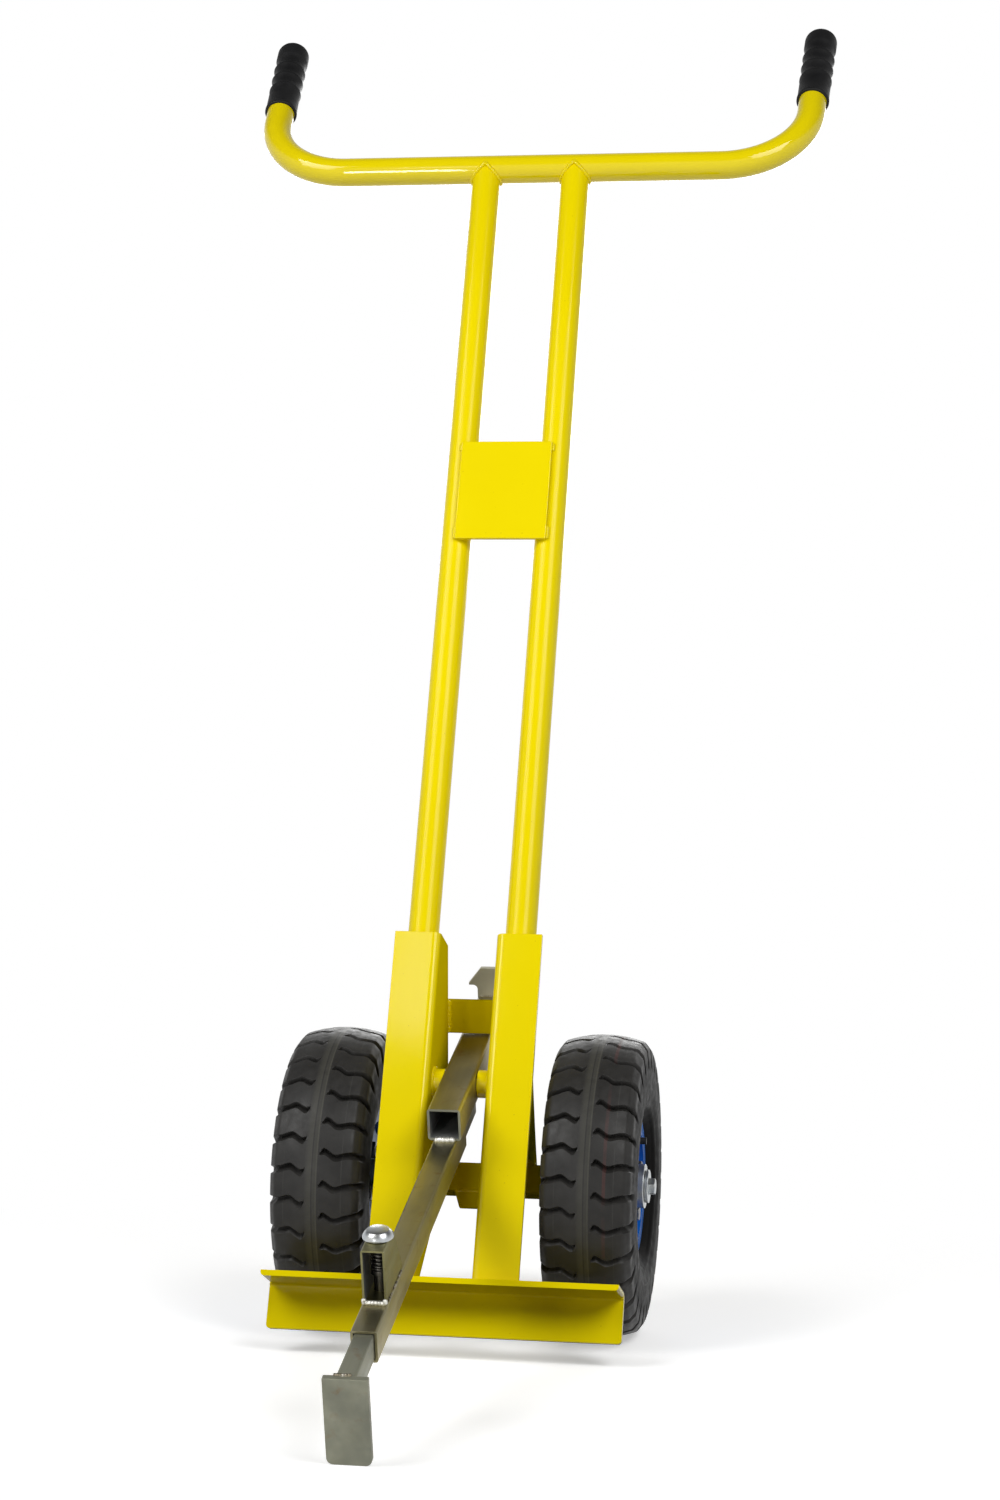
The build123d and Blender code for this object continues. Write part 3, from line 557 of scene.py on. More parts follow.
# How a node's mesh is cleaned, and how its edges are rounded over
MERGE_DISTANCE = 0.000005
FLAT_ANGLE = math.radians(0.8)
SHARP_ANGLE = math.radians(35)
ROUNDED_ANGLE = math.radians(40)
EDGE_STEPS = 2
CORNER_STEPS = 5

# How far the normal of a face goes along a direction that it faces, leans towards or lies beside
FACING = 0.9
LEANING = 0.7
BESIDE = 0.3


def low_side_edges(shape):
    """The edges between a plate's lower face and its two ends."""
    found = []
    for edge in shape.edges:
        normals = [face.normal for face in edge.link_faces]
        if len(normals) == 2 and min(normal.dot(UP) for normal in normals) < -FACING:
            if max(abs(normal.x) for normal in normals) > FACING:
                found.append(edge)
    return found


def dress(node, round_edge, look=None, others=(), sort=None, corner=0.0):
    """Cover a node with a copy whose edges are rounded over.

    Each face has the look, or one of the others where sort picks it by the face's place from the
    pivot and its normal. A corner size also rounds the lower corners at the ends.
    """
    mesh = nodes[node].data.copy()
    mesh.name = f"{node}_finish"
    if "custom_normal" in mesh.attributes:
        mesh.attributes.remove(mesh.attributes["custom_normal"])
    shape = bmesh.new()
    shape.from_mesh(mesh)
    bmesh.ops.remove_doubles(shape, verts=shape.verts, dist=MERGE_DISTANCE)
    bmesh.ops.dissolve_limit(shape, angle_limit=FLAT_ANGLE, verts=shape.verts, edges=shape.edges)
    bmesh.ops.recalc_face_normals(shape, faces=shape.faces)
    if corner:
        bmesh.ops.bevel(
            shape,
            geom=low_side_edges(shape),
            offset=corner * MM,
            offset_type="OFFSET",
            segments=CORNER_STEPS,
            profile=0.5,
            affect="EDGES",
        )
    shape.to_mesh(mesh)
    shape.free()
    mesh.shade_smooth()
    mesh.set_sharp_from_angle(angle=SHARP_ANGLE)
    slot = slot_of[node]
    piece = place(f"{node}_finish", mesh, body_of[node], look or slot, (node,))
    for other in others:
        mesh.materials.append(looks[other])
    if sort:
        for face in mesh.polygons:
            face.material_index = sort(face.center - PIVOT, face.normal)
    edges = piece.modifiers.new("edges", "BEVEL")
    edges.width = round_edge * MM
    edges.segments = EDGE_STEPS
    edges.limit_method = "ANGLE"
    edges.angle_limit = ROUNDED_ANGLE
    normals = piece.modifiers.new("normals", "WEIGHTED_NORMAL")
    normals.keep_sharp = False


def spokes(axis):
    """Two directions square to an axis and to each other."""
    first = UP if abs(axis.dot(UP)) < FACING else SIDE
    first = (first - axis * axis.dot(first)).normalized()
    return first, axis.cross(first)


def circle(centre, axis, radius, steps=48):
    """Points round a circle."""
    first, second = spokes(axis)
    angles = [TURN * step / steps for step in range(steps)]
    return [centre + (first * math.cos(a) + second * math.sin(a)) * radius * MM for a in angles]


def lathe(shape, profile, centre, axis, steps=64):
    """Turn a profile of distances along an axis and radii about it."""
    rings = [circle(centre + axis * along * MM, axis, radius, steps) for along, radius in profile]
    skin(shape, rings)


# Bolt heads and nuts: steps round them, and their chamfer's start as a share of the flats
HEX_STEPS = 48
CHAMFER_START = 0.47
CHAMFER_SLOPE = math.tan(math.radians(30))


def hexagon(shape, seat, axis, flats, height):
    """A hexagonal head or nut on its seat, with a turned chamfer round its top."""
    sector = TURN / 6
    first, second = spokes(axis)
    inner = flats * CHAMFER_START
    rings = [[], [], []]
    for step in range(HEX_STEPS):
        angle = TURN * step / HEX_STEPS
        reach = flats / 2 / math.cos((angle + sector / 2) % sector - sector / 2)
        drop = (reach - inner) * CHAMFER_SLOPE
        out = first * math.cos(angle) + second * math.sin(angle)
        rings[0].append(seat + out * reach * MM)
        rings[1].append(seat + (out * reach + axis * (height - drop)) * MM)
        rings[2].append(seat + (out * inner + axis * height) * MM)
    skin(shape, rings)


def thread_end(shape, seat, axis, radius, length):
    """The end of a bolt past its nut, with grooves in place of a thread, and a chamfered tip."""
    pitch = 1.0
    chamfer = 0.6
    neck, root, tip = radius * 0.9, radius * 0.88, radius * 0.78
    profile = [(-pitch, neck)]
    along = 0.0
    while along < length - pitch:
        profile += [(along, root), (along + pitch / 2, radius)]
        along += pitch
    profile += [(length - chamfer, neck), (length, tip)]
    lathe(shape, profile, seat, axis, steps=32)


def even_steps(path, step, loop):
    """Points at even steps along a path."""
    points = path + [path[0]] if loop else path
    lengths = [0.0]
    for start, end in zip(points, points[1:]):
        lengths.append(lengths[-1] + (end - start).length)
    count = max(4, round(lengths[-1] / step))
    found = []
    leg = 0
    for index in range(count if loop else count + 1):
        target = lengths[-1] * index / count
        while leg < len(points) - 2 and lengths[leg + 1] < target:
            leg += 1
        share = (target - lengths[leg]) / (lengths[leg + 1] - lengths[leg])
        found.append(points[leg].lerp(points[leg + 1], share))
    return found


# Weld beads: steps, ripples and the tip of an open end, as shares of the bead's radius
BEAD_STEP = 0.32
BEAD_SIDES = 10
BEAD_TIP = 0.08
RIPPLE_BASE = 0.8
RIPPLE_RISE = 0.22
RIPPLE_TURN = 0.9
RIPPLE_CHANCE = 0.05


def bead(shape, path, radius, seed, loop=False):
    """A weld bead along a path: a round run of overlapping ripples, drawn in at open ends."""
    chance = random.Random(seed)
    points = even_steps(path, radius * BEAD_STEP * MM, loop)
    count = len(points)
    angles = [TURN * step / BEAD_SIDES for step in range(BEAD_SIDES)]
    rings = []
    normal = None
    for index, point in enumerate(points):
        ahead = points[(index + 1) % count] if loop else points[min(index + 1, count - 1)]
        behind = points[index - 1] if loop else points[max(index - 1, 0)]
        along = (ahead - behind).normalized()
        normal = along.orthogonal() if normal is None else normal - along * normal.dot(along)
        normal.normalize()
        other = along.cross(normal)
        ripple = RIPPLE_BASE + RIPPLE_RISE * abs(math.sin(index * RIPPLE_TURN))
        ripple += chance.uniform(-RIPPLE_CHANCE, RIPPLE_CHANCE)
        if not loop:
            end = min(index, count - 1 - index) * BEAD_STEP
            ripple *= math.sqrt(1 - (1 - min(end, 1)) ** 2) * (1 - BEAD_TIP) + BEAD_TIP
        size = radius * ripple * MM
        rings.append([point + (normal * math.cos(a) + other * math.sin(a)) * size for a in angles])
    skin(shape, rings, loop)


def straight_bead(shape, to_world, start, end, radius, seed):
    """A weld bead between two points, which to_world turns into world places."""
    bead(shape, [to_world(*start), to_world(*end)], radius, seed)


def on_web(where, normal):
    """Which look a face of a side plate has: glossy, or dull and darker on the web's inner face, where the darker
    colour is painted shade.
    """
    return int(abs(normal.x) > FACING and normal.x * where.x < 0)


def in_tube(where, normal):
    """Which look a face of the upper tube has: drawn outside, dull inside, or cut at the front."""
    bore = (ARM_HALF - 1) * MM
    if normal.dot(ARM) > FACING:
        return 2
    within = abs(where.x) < bore and abs(where.dot(ARM_TOP)) < bore
    return int(abs(normal.dot(ARM)) < BESIDE and within)


def in_housing(where, normal):
    """Which look a face of the lock's housing has: drawn outside or dull inside."""
    wall = abs(normal.x) > LEANING and abs(where.x) < (HOUSING_HALF - 1) * MM
    rear = normal.dot(ARM) > LEANING and where.dot(ARM) < (HOUSING_FRONT - 3) * MM
    return int(wall or rear)


# Painted plates, rims and washers, and the square steel of the arm, with eased edges
dress("brace_plate", 0.8)
# These plates sit in the recess behind the side plates, and the dull copy paints their shade into the colour
for node in ("stop_plate", "axle_beam", "beam_tab"):
    dress(node, 0.8, "dull_shaded_yellow")
dress("toe_angle", 0.5, "satin_yellow", corner=3.2)
for side, hand in HANDS:
    dress(f"{hand}_side_plate", 0.8, None, ("dull_shaded_yellow",), on_web)
    # The gussets also take the dull copy, whose darker colour paints their shade
    dress(f"{hand}_gusset", 0.7, "dull_shaded_yellow")
    dress(f"{hand}_pivot_boss", 0.8)
    dress(f"{hand}_outer_rim", 0.7)
    dress(f"{hand}_inner_rim", 0.7)
    dress(f"{hand}_hub", 0.5)
dress("axle_washers", 0.4)
dress("pivot_washers", 0.4)
dress("pin_collar", 0.4, "spring_steel")
dress("arm_upper_tube", 0.45, None, ("tube_inside", "pale_steel"), in_tube)
dress("lock_housing", 0.45, "housing_steel", ("tube_inside",), in_housing)
dress("arm_outer_tube", 0.45)
dress("inner_bar", 0.4, "pale_steel")
dress("jaw_plate", 0.6, "pale_steel")
# The tail plate's lighter steel paints in the reflection of the bright floor
dress("tail_plate", 0.45, "tail_steel_painted_reflection")

# Grips: a stepped collar, finger rings and a round end with a shallow hollow
RING_STEPS = 14
ROUND_STEPS = 9
grip_up = BACK * math.sin(HANDLE_TILT) + UP * math.cos(HANDLE_TILT)
rings_start = GRIP_START + GRIP_COLLAR
for side, hand in HANDS:
    axis = grip_up * math.cos(HANDLE_SPLAY) + SIDE * (side * math.sin(HANDLE_SPLAY))
    profile = [
        (GRIP_START, TUBE_RADIUS + 0.1),
        (GRIP_START, GRIP_RADIUS - GRIP_LIP),
        (GRIP_START + GRIP_LIP, GRIP_RADIUS),
        (GRIP_START + 3.0, GRIP_RADIUS),
        (GRIP_START + 3.8, GRIP_RADIUS - GRIP_STEP),
        (rings_start - 2.5, GRIP_RADIUS - GRIP_STEP),
        (rings_start - 1.5, GRIP_RADIUS),
    ]
    for step in range(GRIP_RINGS * RING_STEPS):
        wave = math.sin(math.pi * (step % RING_STEPS) / RING_STEPS)
        along = rings_start + step * GRIP_PITCH / RING_STEPS
        profile.append((along, GRIP_RADIUS - GRIP_DEPTH * wave))
    profile.append((rings_start + GRIP_RINGS * GRIP_PITCH, GRIP_RADIUS))
    for step in range(ROUND_STEPS + 1):
        angle = TURN / 4 * step / ROUND_STEPS
        along = GRIP_END - GRIP_ROUND + GRIP_ROUND * math.sin(angle)
        profile.append((along, GRIP_RADIUS - GRIP_ROUND + GRIP_ROUND * math.cos(angle)))
    profile += [(GRIP_END - 0.3, 6.8), (GRIP_END - GRIP_HOLLOW, 6.2), (GRIP_END - GRIP_HOLLOW, 1.0)]
    shape = bmesh.new()
    lathe(shape, profile, in_cart(side * HANDLE_HALF, UPRIGHT_BACK, BAR_UP), axis)
    mesh = smooth_mesh(f"{hand}_grip", shape, crease=50)
    place(f"{hand}_grip_rubber", mesh, "frame", "grip_rubber", (f"{hand}_grip",))


def eased(points, at):
    """Smooth value through a list of places and values."""
    if at <= points[0][0]:
        return points[0][1]
    for (low, first), (high, second) in zip(points, points[1:]):
        if at <= high:
            share = (at - low) / (high - low)
            share = share * share * (3 - 2 * share)
            return first + (second - first) * share
    return points[-1][1]


# Course of a tread groove, in millimetres round the tyre at places across it, its width there, its
# outline from edge to edge as shares of its depth, and how far round a pitch the left ones start
GROOVE_COURSE = ((0, 0), (5.5, -0.6), (9.5, 2.2), (19.5, -3.2), (30, -0.6), (36, -0.2))
GROOVE_WIDTH = ((6.0, 0.35), (9, 1.0), (28, 1.0), (37, 1.25))
GROOVE_WALL = (
    (-3.3, 0.0), (-2.8, 0.12), (-1.4, 0.6), (0.2, 0.9), (1.6, 1.0), (2.4, 0.1), (2.9, 0.0),
)
GROOVE_FIRST = GROOVE_WALL[0][0]
GROOVE_LAST = GROOVE_WALL[-1][0]
LEFT_GROOVES = 0.47

# Places of the tyre's rows: across its crown, as shares of its shoulder, and radii down its walls
CROWN_ROWS = (
    0, 2.5, 5.0, RIB_HALF, 6.5, 7.1, 7.8, 8.6, 9.6, 11,
    13, 15, 17, 19, 21, 23, 25.5, 28, 30.5, 32.4,
)
SHOULDER_ROWS = (0.12, 0.35, 0.65, 0.9)
UPPER_ROWS = (117, 115, 112.5, 110, 107, 104, 101, 98, 94, 89, 84)
LOWER_ROWS = (80, 76, 73, 72.2, 71, 69.4, 68.4, 67.2, 65, 63, 61.4)
RIDGE_ROWS = (68.9, 72.4)
RIDGE = 0.9
COLUMN_GAP = 3.0

# Shares of a groove's depth, from the rib out over the crown, and by radius down the walls
CROWN_DEPTH = ((RIB_HALF, 0.0), (7.4, 1.0))
WALL_DEPTH = ((101, 0.0), (112, 0.85), (118, 1.0))

# The tyre's inner outline, as across and radius, from one bead to the middle
TYRE_INSIDE = ((19.4, TYRE_BEAD_LOW), (25, 64), (32, 84), (29, 104), (20, 116), (0, 119.5))


def arc_radius(half, drop):
    """Radius of an arc that falls by a drop over half its chord."""
    return (half**2 + drop**2) / (2 * drop)


def on_arc(crest, radius, off):
    """Height of an arc at a distance off its crest."""
    return crest - radius + math.sqrt(radius**2 - off**2)


def tyre_rows():
    """Half outline of a tyre from its middle to its bead: across, radius and groove depth."""
    rows = []
    crown = arc_radius(CROWN_EDGE[0], TYRE_RADIUS - CROWN_EDGE[1])
    for across in CROWN_ROWS:
        depth = eased(CROWN_DEPTH, across)
        rows.append((across, on_arc(TYRE_RADIUS, crown, across), depth))
    for share in SHOULDER_ROWS:
        across = CROWN_EDGE[0] + (SHOULDER[0] - CROWN_EDGE[0]) * share
        rows.append((across, CROWN_EDGE[1] + (SHOULDER[1] - CROWN_EDGE[1]) * share, 1.0))
    upper = arc_radius(SHOULDER[1] - BULGE, TYRE_HALF - SHOULDER[0])
    for radius in UPPER_ROWS:
        depth = eased(WALL_DEPTH, radius)
        rows.append((on_arc(TYRE_HALF, upper, radius - BULGE), radius, depth))
    lower = arc_radius(BULGE - TYRE_BEAD[1], TYRE_HALF - TYRE_BEAD[0])
    for radius in LOWER_ROWS:
        ridge = RIDGE if RIDGE_ROWS[0] < radius < RIDGE_ROWS[1] else 0.0
        across = on_arc(TYRE_HALF, lower, BULGE - radius)
        rows.append((across + ridge * 0.6, radius - ridge * 0.5, 0.0))
    rows += [(TYRE_BEAD[0], 59.5, 0.0), (TYRE_BEAD[0], TYRE_BEAD_LOW, 0.0)]
    return rows


def groove_columns(pitch):
    """Columns of one tread pitch: a groove's place, the offset from it, its wall and its side."""
    columns = []
    left_start = LEFT_GROOVES * pitch
    for first, second, owner in ((0, left_start, 1), (left_start, pitch, -1)):
        columns += [(first, edge, wall, owner) for edge, wall in GROOVE_WALL]
        gap = second - first - GROOVE_LAST + GROOVE_FIRST
        extra = max(1, round(gap / COLUMN_GAP))
        for step in range(extra):
            columns.append((first, GROOVE_LAST + gap * (step + 1) / (extra + 1), 0.0, 0))
    return columns


def tyre_mesh(name, phase):
    """A tyre about its own middle, with curved grooves from its rib out over both shoulders."""
    pitch = TURN * TYRE_RADIUS / TREAD_PITCHES
    columns = groove_columns(pitch)
    half = tyre_rows()
    outline = [(-across, radius, depth) for across, radius, depth in reversed(half[1:])] + half
    inside = list(TYRE_INSIDE)
    inside += [(-across, radius) for across, radius in reversed(inside[:-1])]

    def outward(turn, offset):
        """Direction out from the axle, an offset round the tread past some whole pitches."""
        angle = phase + (turn * pitch + offset) / TYRE_RADIUS
        return BACK * -math.cos(angle) + UP * math.sin(angle)

    rings = []
    for index, (across, radius, depth) in enumerate(outline):
        before = outline[max(index - 1, 0)]
        after = outline[min(index + 1, len(outline) - 1)]
        run = Vector((after[0] - before[0], after[1] - before[1])).normalized()
        inward = Vector((run.y, -run.x))
        side = 1 if across >= 0 else -1
        shift = side * eased(GROOVE_COURSE, abs(across))
        width = eased(GROOVE_WIDTH, abs(across))
        ring = []
        for turn in range(TREAD_PITCHES):
            for centre, edge, wall, owner in columns:
                own = owner == side and depth > 0
                sink = TREAD_DEPTH * depth * wall if own else 0.0
                out = outward(turn, centre + edge * (width if own else 1.0) + shift)
                point = SIDE * (across + inward.x * sink) + out * (radius + inward.y * sink)
                ring.append(point * MM)
        rings.append(ring)
    for across, radius in inside:
        ring = []
        for turn in range(TREAD_PITCHES):
            for centre, edge, wall, owner in columns:
                ring.append((SIDE * across + outward(turn, centre + edge) * radius) * MM)
        rings.append(ring)
    shape = bmesh.new()
    skin(shape, rings, loop=True)
    return smooth_mesh(name, shape, crease=42)


# Wheels: treaded tyres, and bolts through the rims
for side, hand in HANDS:
    out = SIDE * side
    middle = AXLE + SIDE * (side * HALF_TRACK * MM)
    mesh = tyre_mesh(f"{hand}_tyre_tread", TREAD_PHASE[hand])
    tyre_look = "striped_tyre" if side > 0 else "tyre"
    place(
        f"{hand}_tyre_tread", mesh, f"{hand}_wheel", tyre_look, (f"{hand}_tyre",), middle
    )
    shape = bmesh.new()
    for index in range(RIM_BOLTS):
        angle = TURN * (index + 0.5) / RIM_BOLTS
        centre = middle + (BACK * math.cos(angle) + UP * math.sin(angle)) * BOLT_CIRCLE * MM
        end_seat = centre - out * (BOLT_REACH + BOLT_NUT - BOLT_END) * MM
        hexagon(shape, centre + out * BOLT_REACH * MM, out, BOLT_FLATS, BOLT_HEAD)
        hexagon(shape, centre - out * BOLT_REACH * MM, -out, BOLT_FLATS, BOLT_NUT - BOLT_PROUD)
        thread_end(shape, end_seat, -out, BOLT_RADIUS, BOLT_END)
        shank = [(-BOLT_REACH, BOLT_RADIUS), (BOLT_REACH, BOLT_RADIUS)]
        lathe(shape, shank, centre, out, steps=24)
    mesh = smooth_mesh(f"{hand}_rim_bolt_heads", shape)
    place(
        f"{hand}_rim_bolt_heads", mesh, f"{hand}_wheel", "dark_zinc", (f"{hand}_rim_bolts",)
    )

# Axle screws
shape = bmesh.new()
screw_seat = HALF_TRACK + HUB_END + END_PLAY + AXLE_WASHER
shank = [
    (-AXLE_SCREW_LENGTH, AXLE_SCREW_RADIUS - 0.8),
    (1 - AXLE_SCREW_LENGTH, AXLE_SCREW_RADIUS),
    (0, AXLE_SCREW_RADIUS),
]
for side, hand in HANDS:
    out = SIDE * side
    seat = AXLE + out * screw_seat * MM
    hexagon(shape, seat, out, AXLE_SCREW_FLATS, AXLE_SCREW_HEAD)
    lathe(shape, shank, seat, out, steps=24)
mesh = smooth_mesh("axle_screw_heads", shape)
place("axle_screw_heads", mesh, "frame", "zinc", ("axle_screws",))

# Pivot bolt and nut
reach = WEB_OUTSIDE + PIVOT_WASHER
shape = bmesh.new()
hexagon(shape, PIVOT - SIDE * reach * MM, -SIDE, PIVOT_FLATS, PIVOT_HEAD)
lathe(shape, [(-reach, PIVOT_RADIUS), (reach, PIVOT_RADIUS)], PIVOT, SIDE, steps=40)
end_seat = PIVOT + SIDE * (reach + PIVOT_NUT - PIVOT_END) * MM
thread_end(shape, end_seat, SIDE, PIVOT_RADIUS, PIVOT_END)
mesh = smooth_mesh("pivot_bolt_head", shape)
place("pivot_bolt_head", mesh, "frame", "zinc", ("pivot_bolt",))
shape = bmesh.new()
hexagon(shape, PIVOT + SIDE * reach * MM, SIDE, PIVOT_FLATS, PIVOT_NUT - PIVOT_PROUD)
mesh = smooth_mesh("pivot_nut_turned", shape)
place("pivot_nut_turned", mesh, "frame", "zinc", ("pivot_nut",))

# Lock pin: a flat head with a bevelled rim, on a dark shank
head_top = HEAD_SEAT + HEAD_HEIGHT
profile = [
    (HEAD_SEAT, PIN_NECK),
    (HEAD_SEAT, HEAD_RADIUS - 0.4),
    (HEAD_SEAT + 0.4, HEAD_RADIUS),
    (HEAD_SEAT + 1.2, HEAD_RADIUS),
    (HEAD_SEAT + 2.0, HEAD_RADIUS - 0.3),
    (HEAD_SEAT + 3.8, HEAD_RADIUS - 1.4),
    (head_top - 0.15, HEAD_FLAT + 0.2),
    (head_top, HEAD_FLAT - 0.1),
    (head_top, 1.0),
]
shape = bmesh.new()
lathe(shape, profile, on_arm(0, PIN_ALONG, 0), ARM_TOP)
mesh = smooth_mesh("lock_pin_head", shape, crease=32)
place("lock_pin_head", mesh, "lock", "bright_zinc", ("lock_pin",))
profile = [
    (PIN_TIP, PIN_RADIUS - 0.8),
    (PIN_TIP + 0.8, PIN_RADIUS),
    (HEAD_SEAT - 3.0, PIN_RADIUS),
    (HEAD_SEAT - 2.4, PIN_NECK),
    (HEAD_SEAT + 0.1, PIN_NECK),
]
shape = bmesh.new()
lathe(shape, profile, on_arm(0, PIN_ALONG, 0), ARM_TOP)
mesh = smooth_mesh("lock_pin_shank", shape, crease=32)
place("lock_pin_shank", mesh, "lock", "spring_steel")

# Coil spring with closed ends
COIL_TURNS = SPRING_TURNS + 2
COIL_STEPS = 28
WIRE_SIDES = 12
coil_low = SPRING_LOW + SPRING_WIRE
coil_height = SPRING_HIGH - SPRING_WIRE - coil_low
closed_rise = 2 * SPRING_WIRE


def coil_rise(turn):
    """Rise of the wire after some turns: eased in the closed end turns, and even between them."""
    end_turn = ((0, 0), (1, closed_rise))
    if turn < 1:
        return eased(end_turn, turn)
    if turn > COIL_TURNS - 1:
        return coil_height - eased(end_turn, COIL_TURNS - turn)
    return closed_rise + (coil_height - 2 * closed_rise) * (turn - 1) / (COIL_TURNS - 2)


path = []
steps = COIL_TURNS * COIL_STEPS
for step in range(steps + 1):
    turn = COIL_TURNS * step / steps
    beside = SPRING_RADIUS * math.cos(TURN * turn)
    along = PIN_ALONG + SPRING_RADIUS * math.sin(TURN * turn)
    path.append(on_arm(beside, along, coil_low + coil_rise(turn)))
rings = []
normal = ARM_TOP.copy()
wire = SPRING_WIRE * MM
angles = [TURN * step / WIRE_SIDES for step in range(WIRE_SIDES)]
for index, point in enumerate(path):
    along = (path[min(index + 1, steps)] - path[max(index - 1, 0)]).normalized()
    normal = (normal - along * normal.dot(along)).normalized()
    other = along.cross(normal)
    rings.append([point + (normal * math.cos(a) + other * math.sin(a)) * wire for a in angles])
shape = bmesh.new()
skin(shape, rings)
mesh = smooth_mesh("lock_coil", shape)
coil = place("lock_coil", mesh, "arm", "spring_steel", ("lock_spring",))
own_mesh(coil)

# Welds of the frame, under the paint
WELD_CREASE = 60
SADDLE_STEPS = 72
SADDLE_SPREAD = 1.03
shape = bmesh.new()
for side, hand in HANDS:
    # Uprights to the handlebar
    saddle = []
    for step in range(SADDLE_STEPS):
        angle = TURN * step / SADDLE_STEPS
        cross = TUBE_RADIUS * math.cos(angle)
        saddle.append(
            in_cart(
                side * UPRIGHT_SIDE + cross * SADDLE_SPREAD,
                UPRIGHT_BACK + TUBE_RADIUS * SADDLE_SPREAD * math.sin(angle),
                BAR_UP - abs(cross) - 0.6,
            )
        )
    bead(shape, saddle, 1.9, f"{hand} saddle", loop=True)

    # Brace plate, at its corners
    beside = side * (BRACE_HALF + 0.4)
    top_run = (BRACE_HIGH - 9, BRACE_HIGH - 0.5, 2.1)
    low_run = (BRACE_LOW + 0.5, BRACE_LOW + 14, 2.3)
    for low, high, radius in (top_run, low_run):
        ends = [(beside, PLATE - 0.6, up) for up in (low, high)]
        straight_bead(shape, in_cart, *ends, radius, f"{hand} brace {low}")

    # Stop plate and pivot boss, inside the web
    beside = side * (WEB_INSIDE - 0.6)
    ends = [(beside, back - 0.6, up - 0.3) for back, up in (STOP_TOP, STOP_LOW)]
    straight_bead(shape, in_cart, *ends, 2.6, f"{hand} stop")
    ring = circle(PIVOT + SIDE * (side * (WEB_INSIDE - 0.4) * MM), SIDE, BOSS_RADIUS + 0.5)
    bead(shape, ring, 1.7, f"{hand} boss", loop=True)

    # Side plate to the toe
    ends = [(side * reach, 0.4, 0.2) for reach in (WEB_INSIDE + 8, FLANGE_OUTSIDE - 2)]
    straight_bead(shape, in_cart, *ends, 1.9, f"{hand} foot")
    for beside, radius in ((WEB_OUTSIDE, 1.9), (WEB_INSIDE - 0.4, 2.6)):
        ends = [(side * beside, back, 0.3) for back in (PLATE + 3, 18)]
        straight_bead(shape, in_cart, *ends, radius, f"{hand} web foot {beside}")

    # Upright to the flange
    for offset in (-7.0, 7.0):
        beside = side * (UPRIGHT_SIDE + offset)
        ends = [(beside, PLATE + 1.0, up) for up in (UPRIGHT_FOOT, FLANGE_TOP - 3)]
        straight_bead(shape, in_cart, *ends, 2.0, f"{hand} upright {offset}")

    # Gusset to the flange and the beam
    for beside in (GUSSET_OUTSIDE, GUSSET_OUTSIDE - PLATE):
        ends = [(side * beside, PLATE + 0.4, up) for up in (BEAM_TOP + 12, GUSSET_WELD_TOP)]
        straight_bead(shape, in_cart, *ends, 1.8, f"{hand} gusset {beside}")
        ends = [(side * beside, back, BEAM_TOP + 0.4) for back in (BEAM_FRONT + 1, BEAM_REAR - 1)]
        straight_bead(shape, in_cart, *ends, 1.9, f"{hand} gusset foot {beside}")

    # Web to the beam
    beside = side * (WEB_OUTSIDE + 0.4)
    ends = [(beside, BEAM_FRONT - 0.4, up) for up in (BEAM_LOW + 1, BEAM_TOP - 1)]
    straight_bead(shape, in_cart, *ends, 1.9, f"{hand} beam")
ends = [(beside, BEAM_FRONT + 0.3, BEAM_LOW - 0.2) for beside in (1 - TAB_HALF, TAB_HALF - 1)]
straight_bead(shape, in_cart, *ends, 1.5, "tab")
mesh = smooth_mesh("frame_welds", shape, WELD_CREASE)
place("frame_welds", mesh, "frame", "yellow_paint")

# Welds of the arm that face forward, ground bright
shape = bmesh.new()
ends = [(beside, ARM_FRONT + 0.5, OUTER_TOP + 0.5) for beside in (1 - OUTER_HALF, OUTER_HALF - 1)]
straight_bead(shape, on_arm, *ends, 3.0, "arm front")
foot, corner = HOUSING_HALF - 0.6, HOUSING_HALF - 1.4
run = [
    on_arm(beside, HOUSING_FRONT + 0.4, OUTER_TOP + above)
    for beside, above in ((-foot, 5.0), (-corner, 1.2), (corner, 1.2), (foot, 5.0))
]
bead(shape, run, 2.1, "housing front")
mesh = smooth_mesh("arm_front_welds", shape, WELD_CREASE)
place("arm_front_welds", mesh, "arm", "ground_weld")

# Other welds of the arm, left bare
STITCH = 11.0
shape = bmesh.new()
for side, hand in HANDS:
    beside = side * (OUTER_HALF + 0.2)
    ends = [(beside, along, OUTER_TOP - 0.2) for along in (OUTER_REAR + 2, ARM_FRONT - 1)]
    straight_bead(shape, on_arm, *ends, 1.2, f"{hand} arm side")
    beside = side * (HOUSING_HALF + 0.2)
    for share in (0.12, 0.42, 0.72):
        start = HOUSING_FRONT - HOUSING_FOOT * share
        ends = [(beside, along, OUTER_TOP + 0.4) for along in (start, start - STITCH)]
        straight_bead(shape, on_arm, *ends, 1.0, f"{hand} housing {share}")
for above in (ARM_HALF - 1, -ARM_HALF + 1):
    ends = [(beside, TAIL_WELD, above) for beside in (2 - ARM_HALF, ARM_HALF - 2)]
    straight_bead(shape, on_arm, *ends, 1.6, f"tail {above}")
mesh = smooth_mesh("arm_welds", shape, WELD_CREASE)
place("arm_welds", mesh, "arm", "weld_steel")

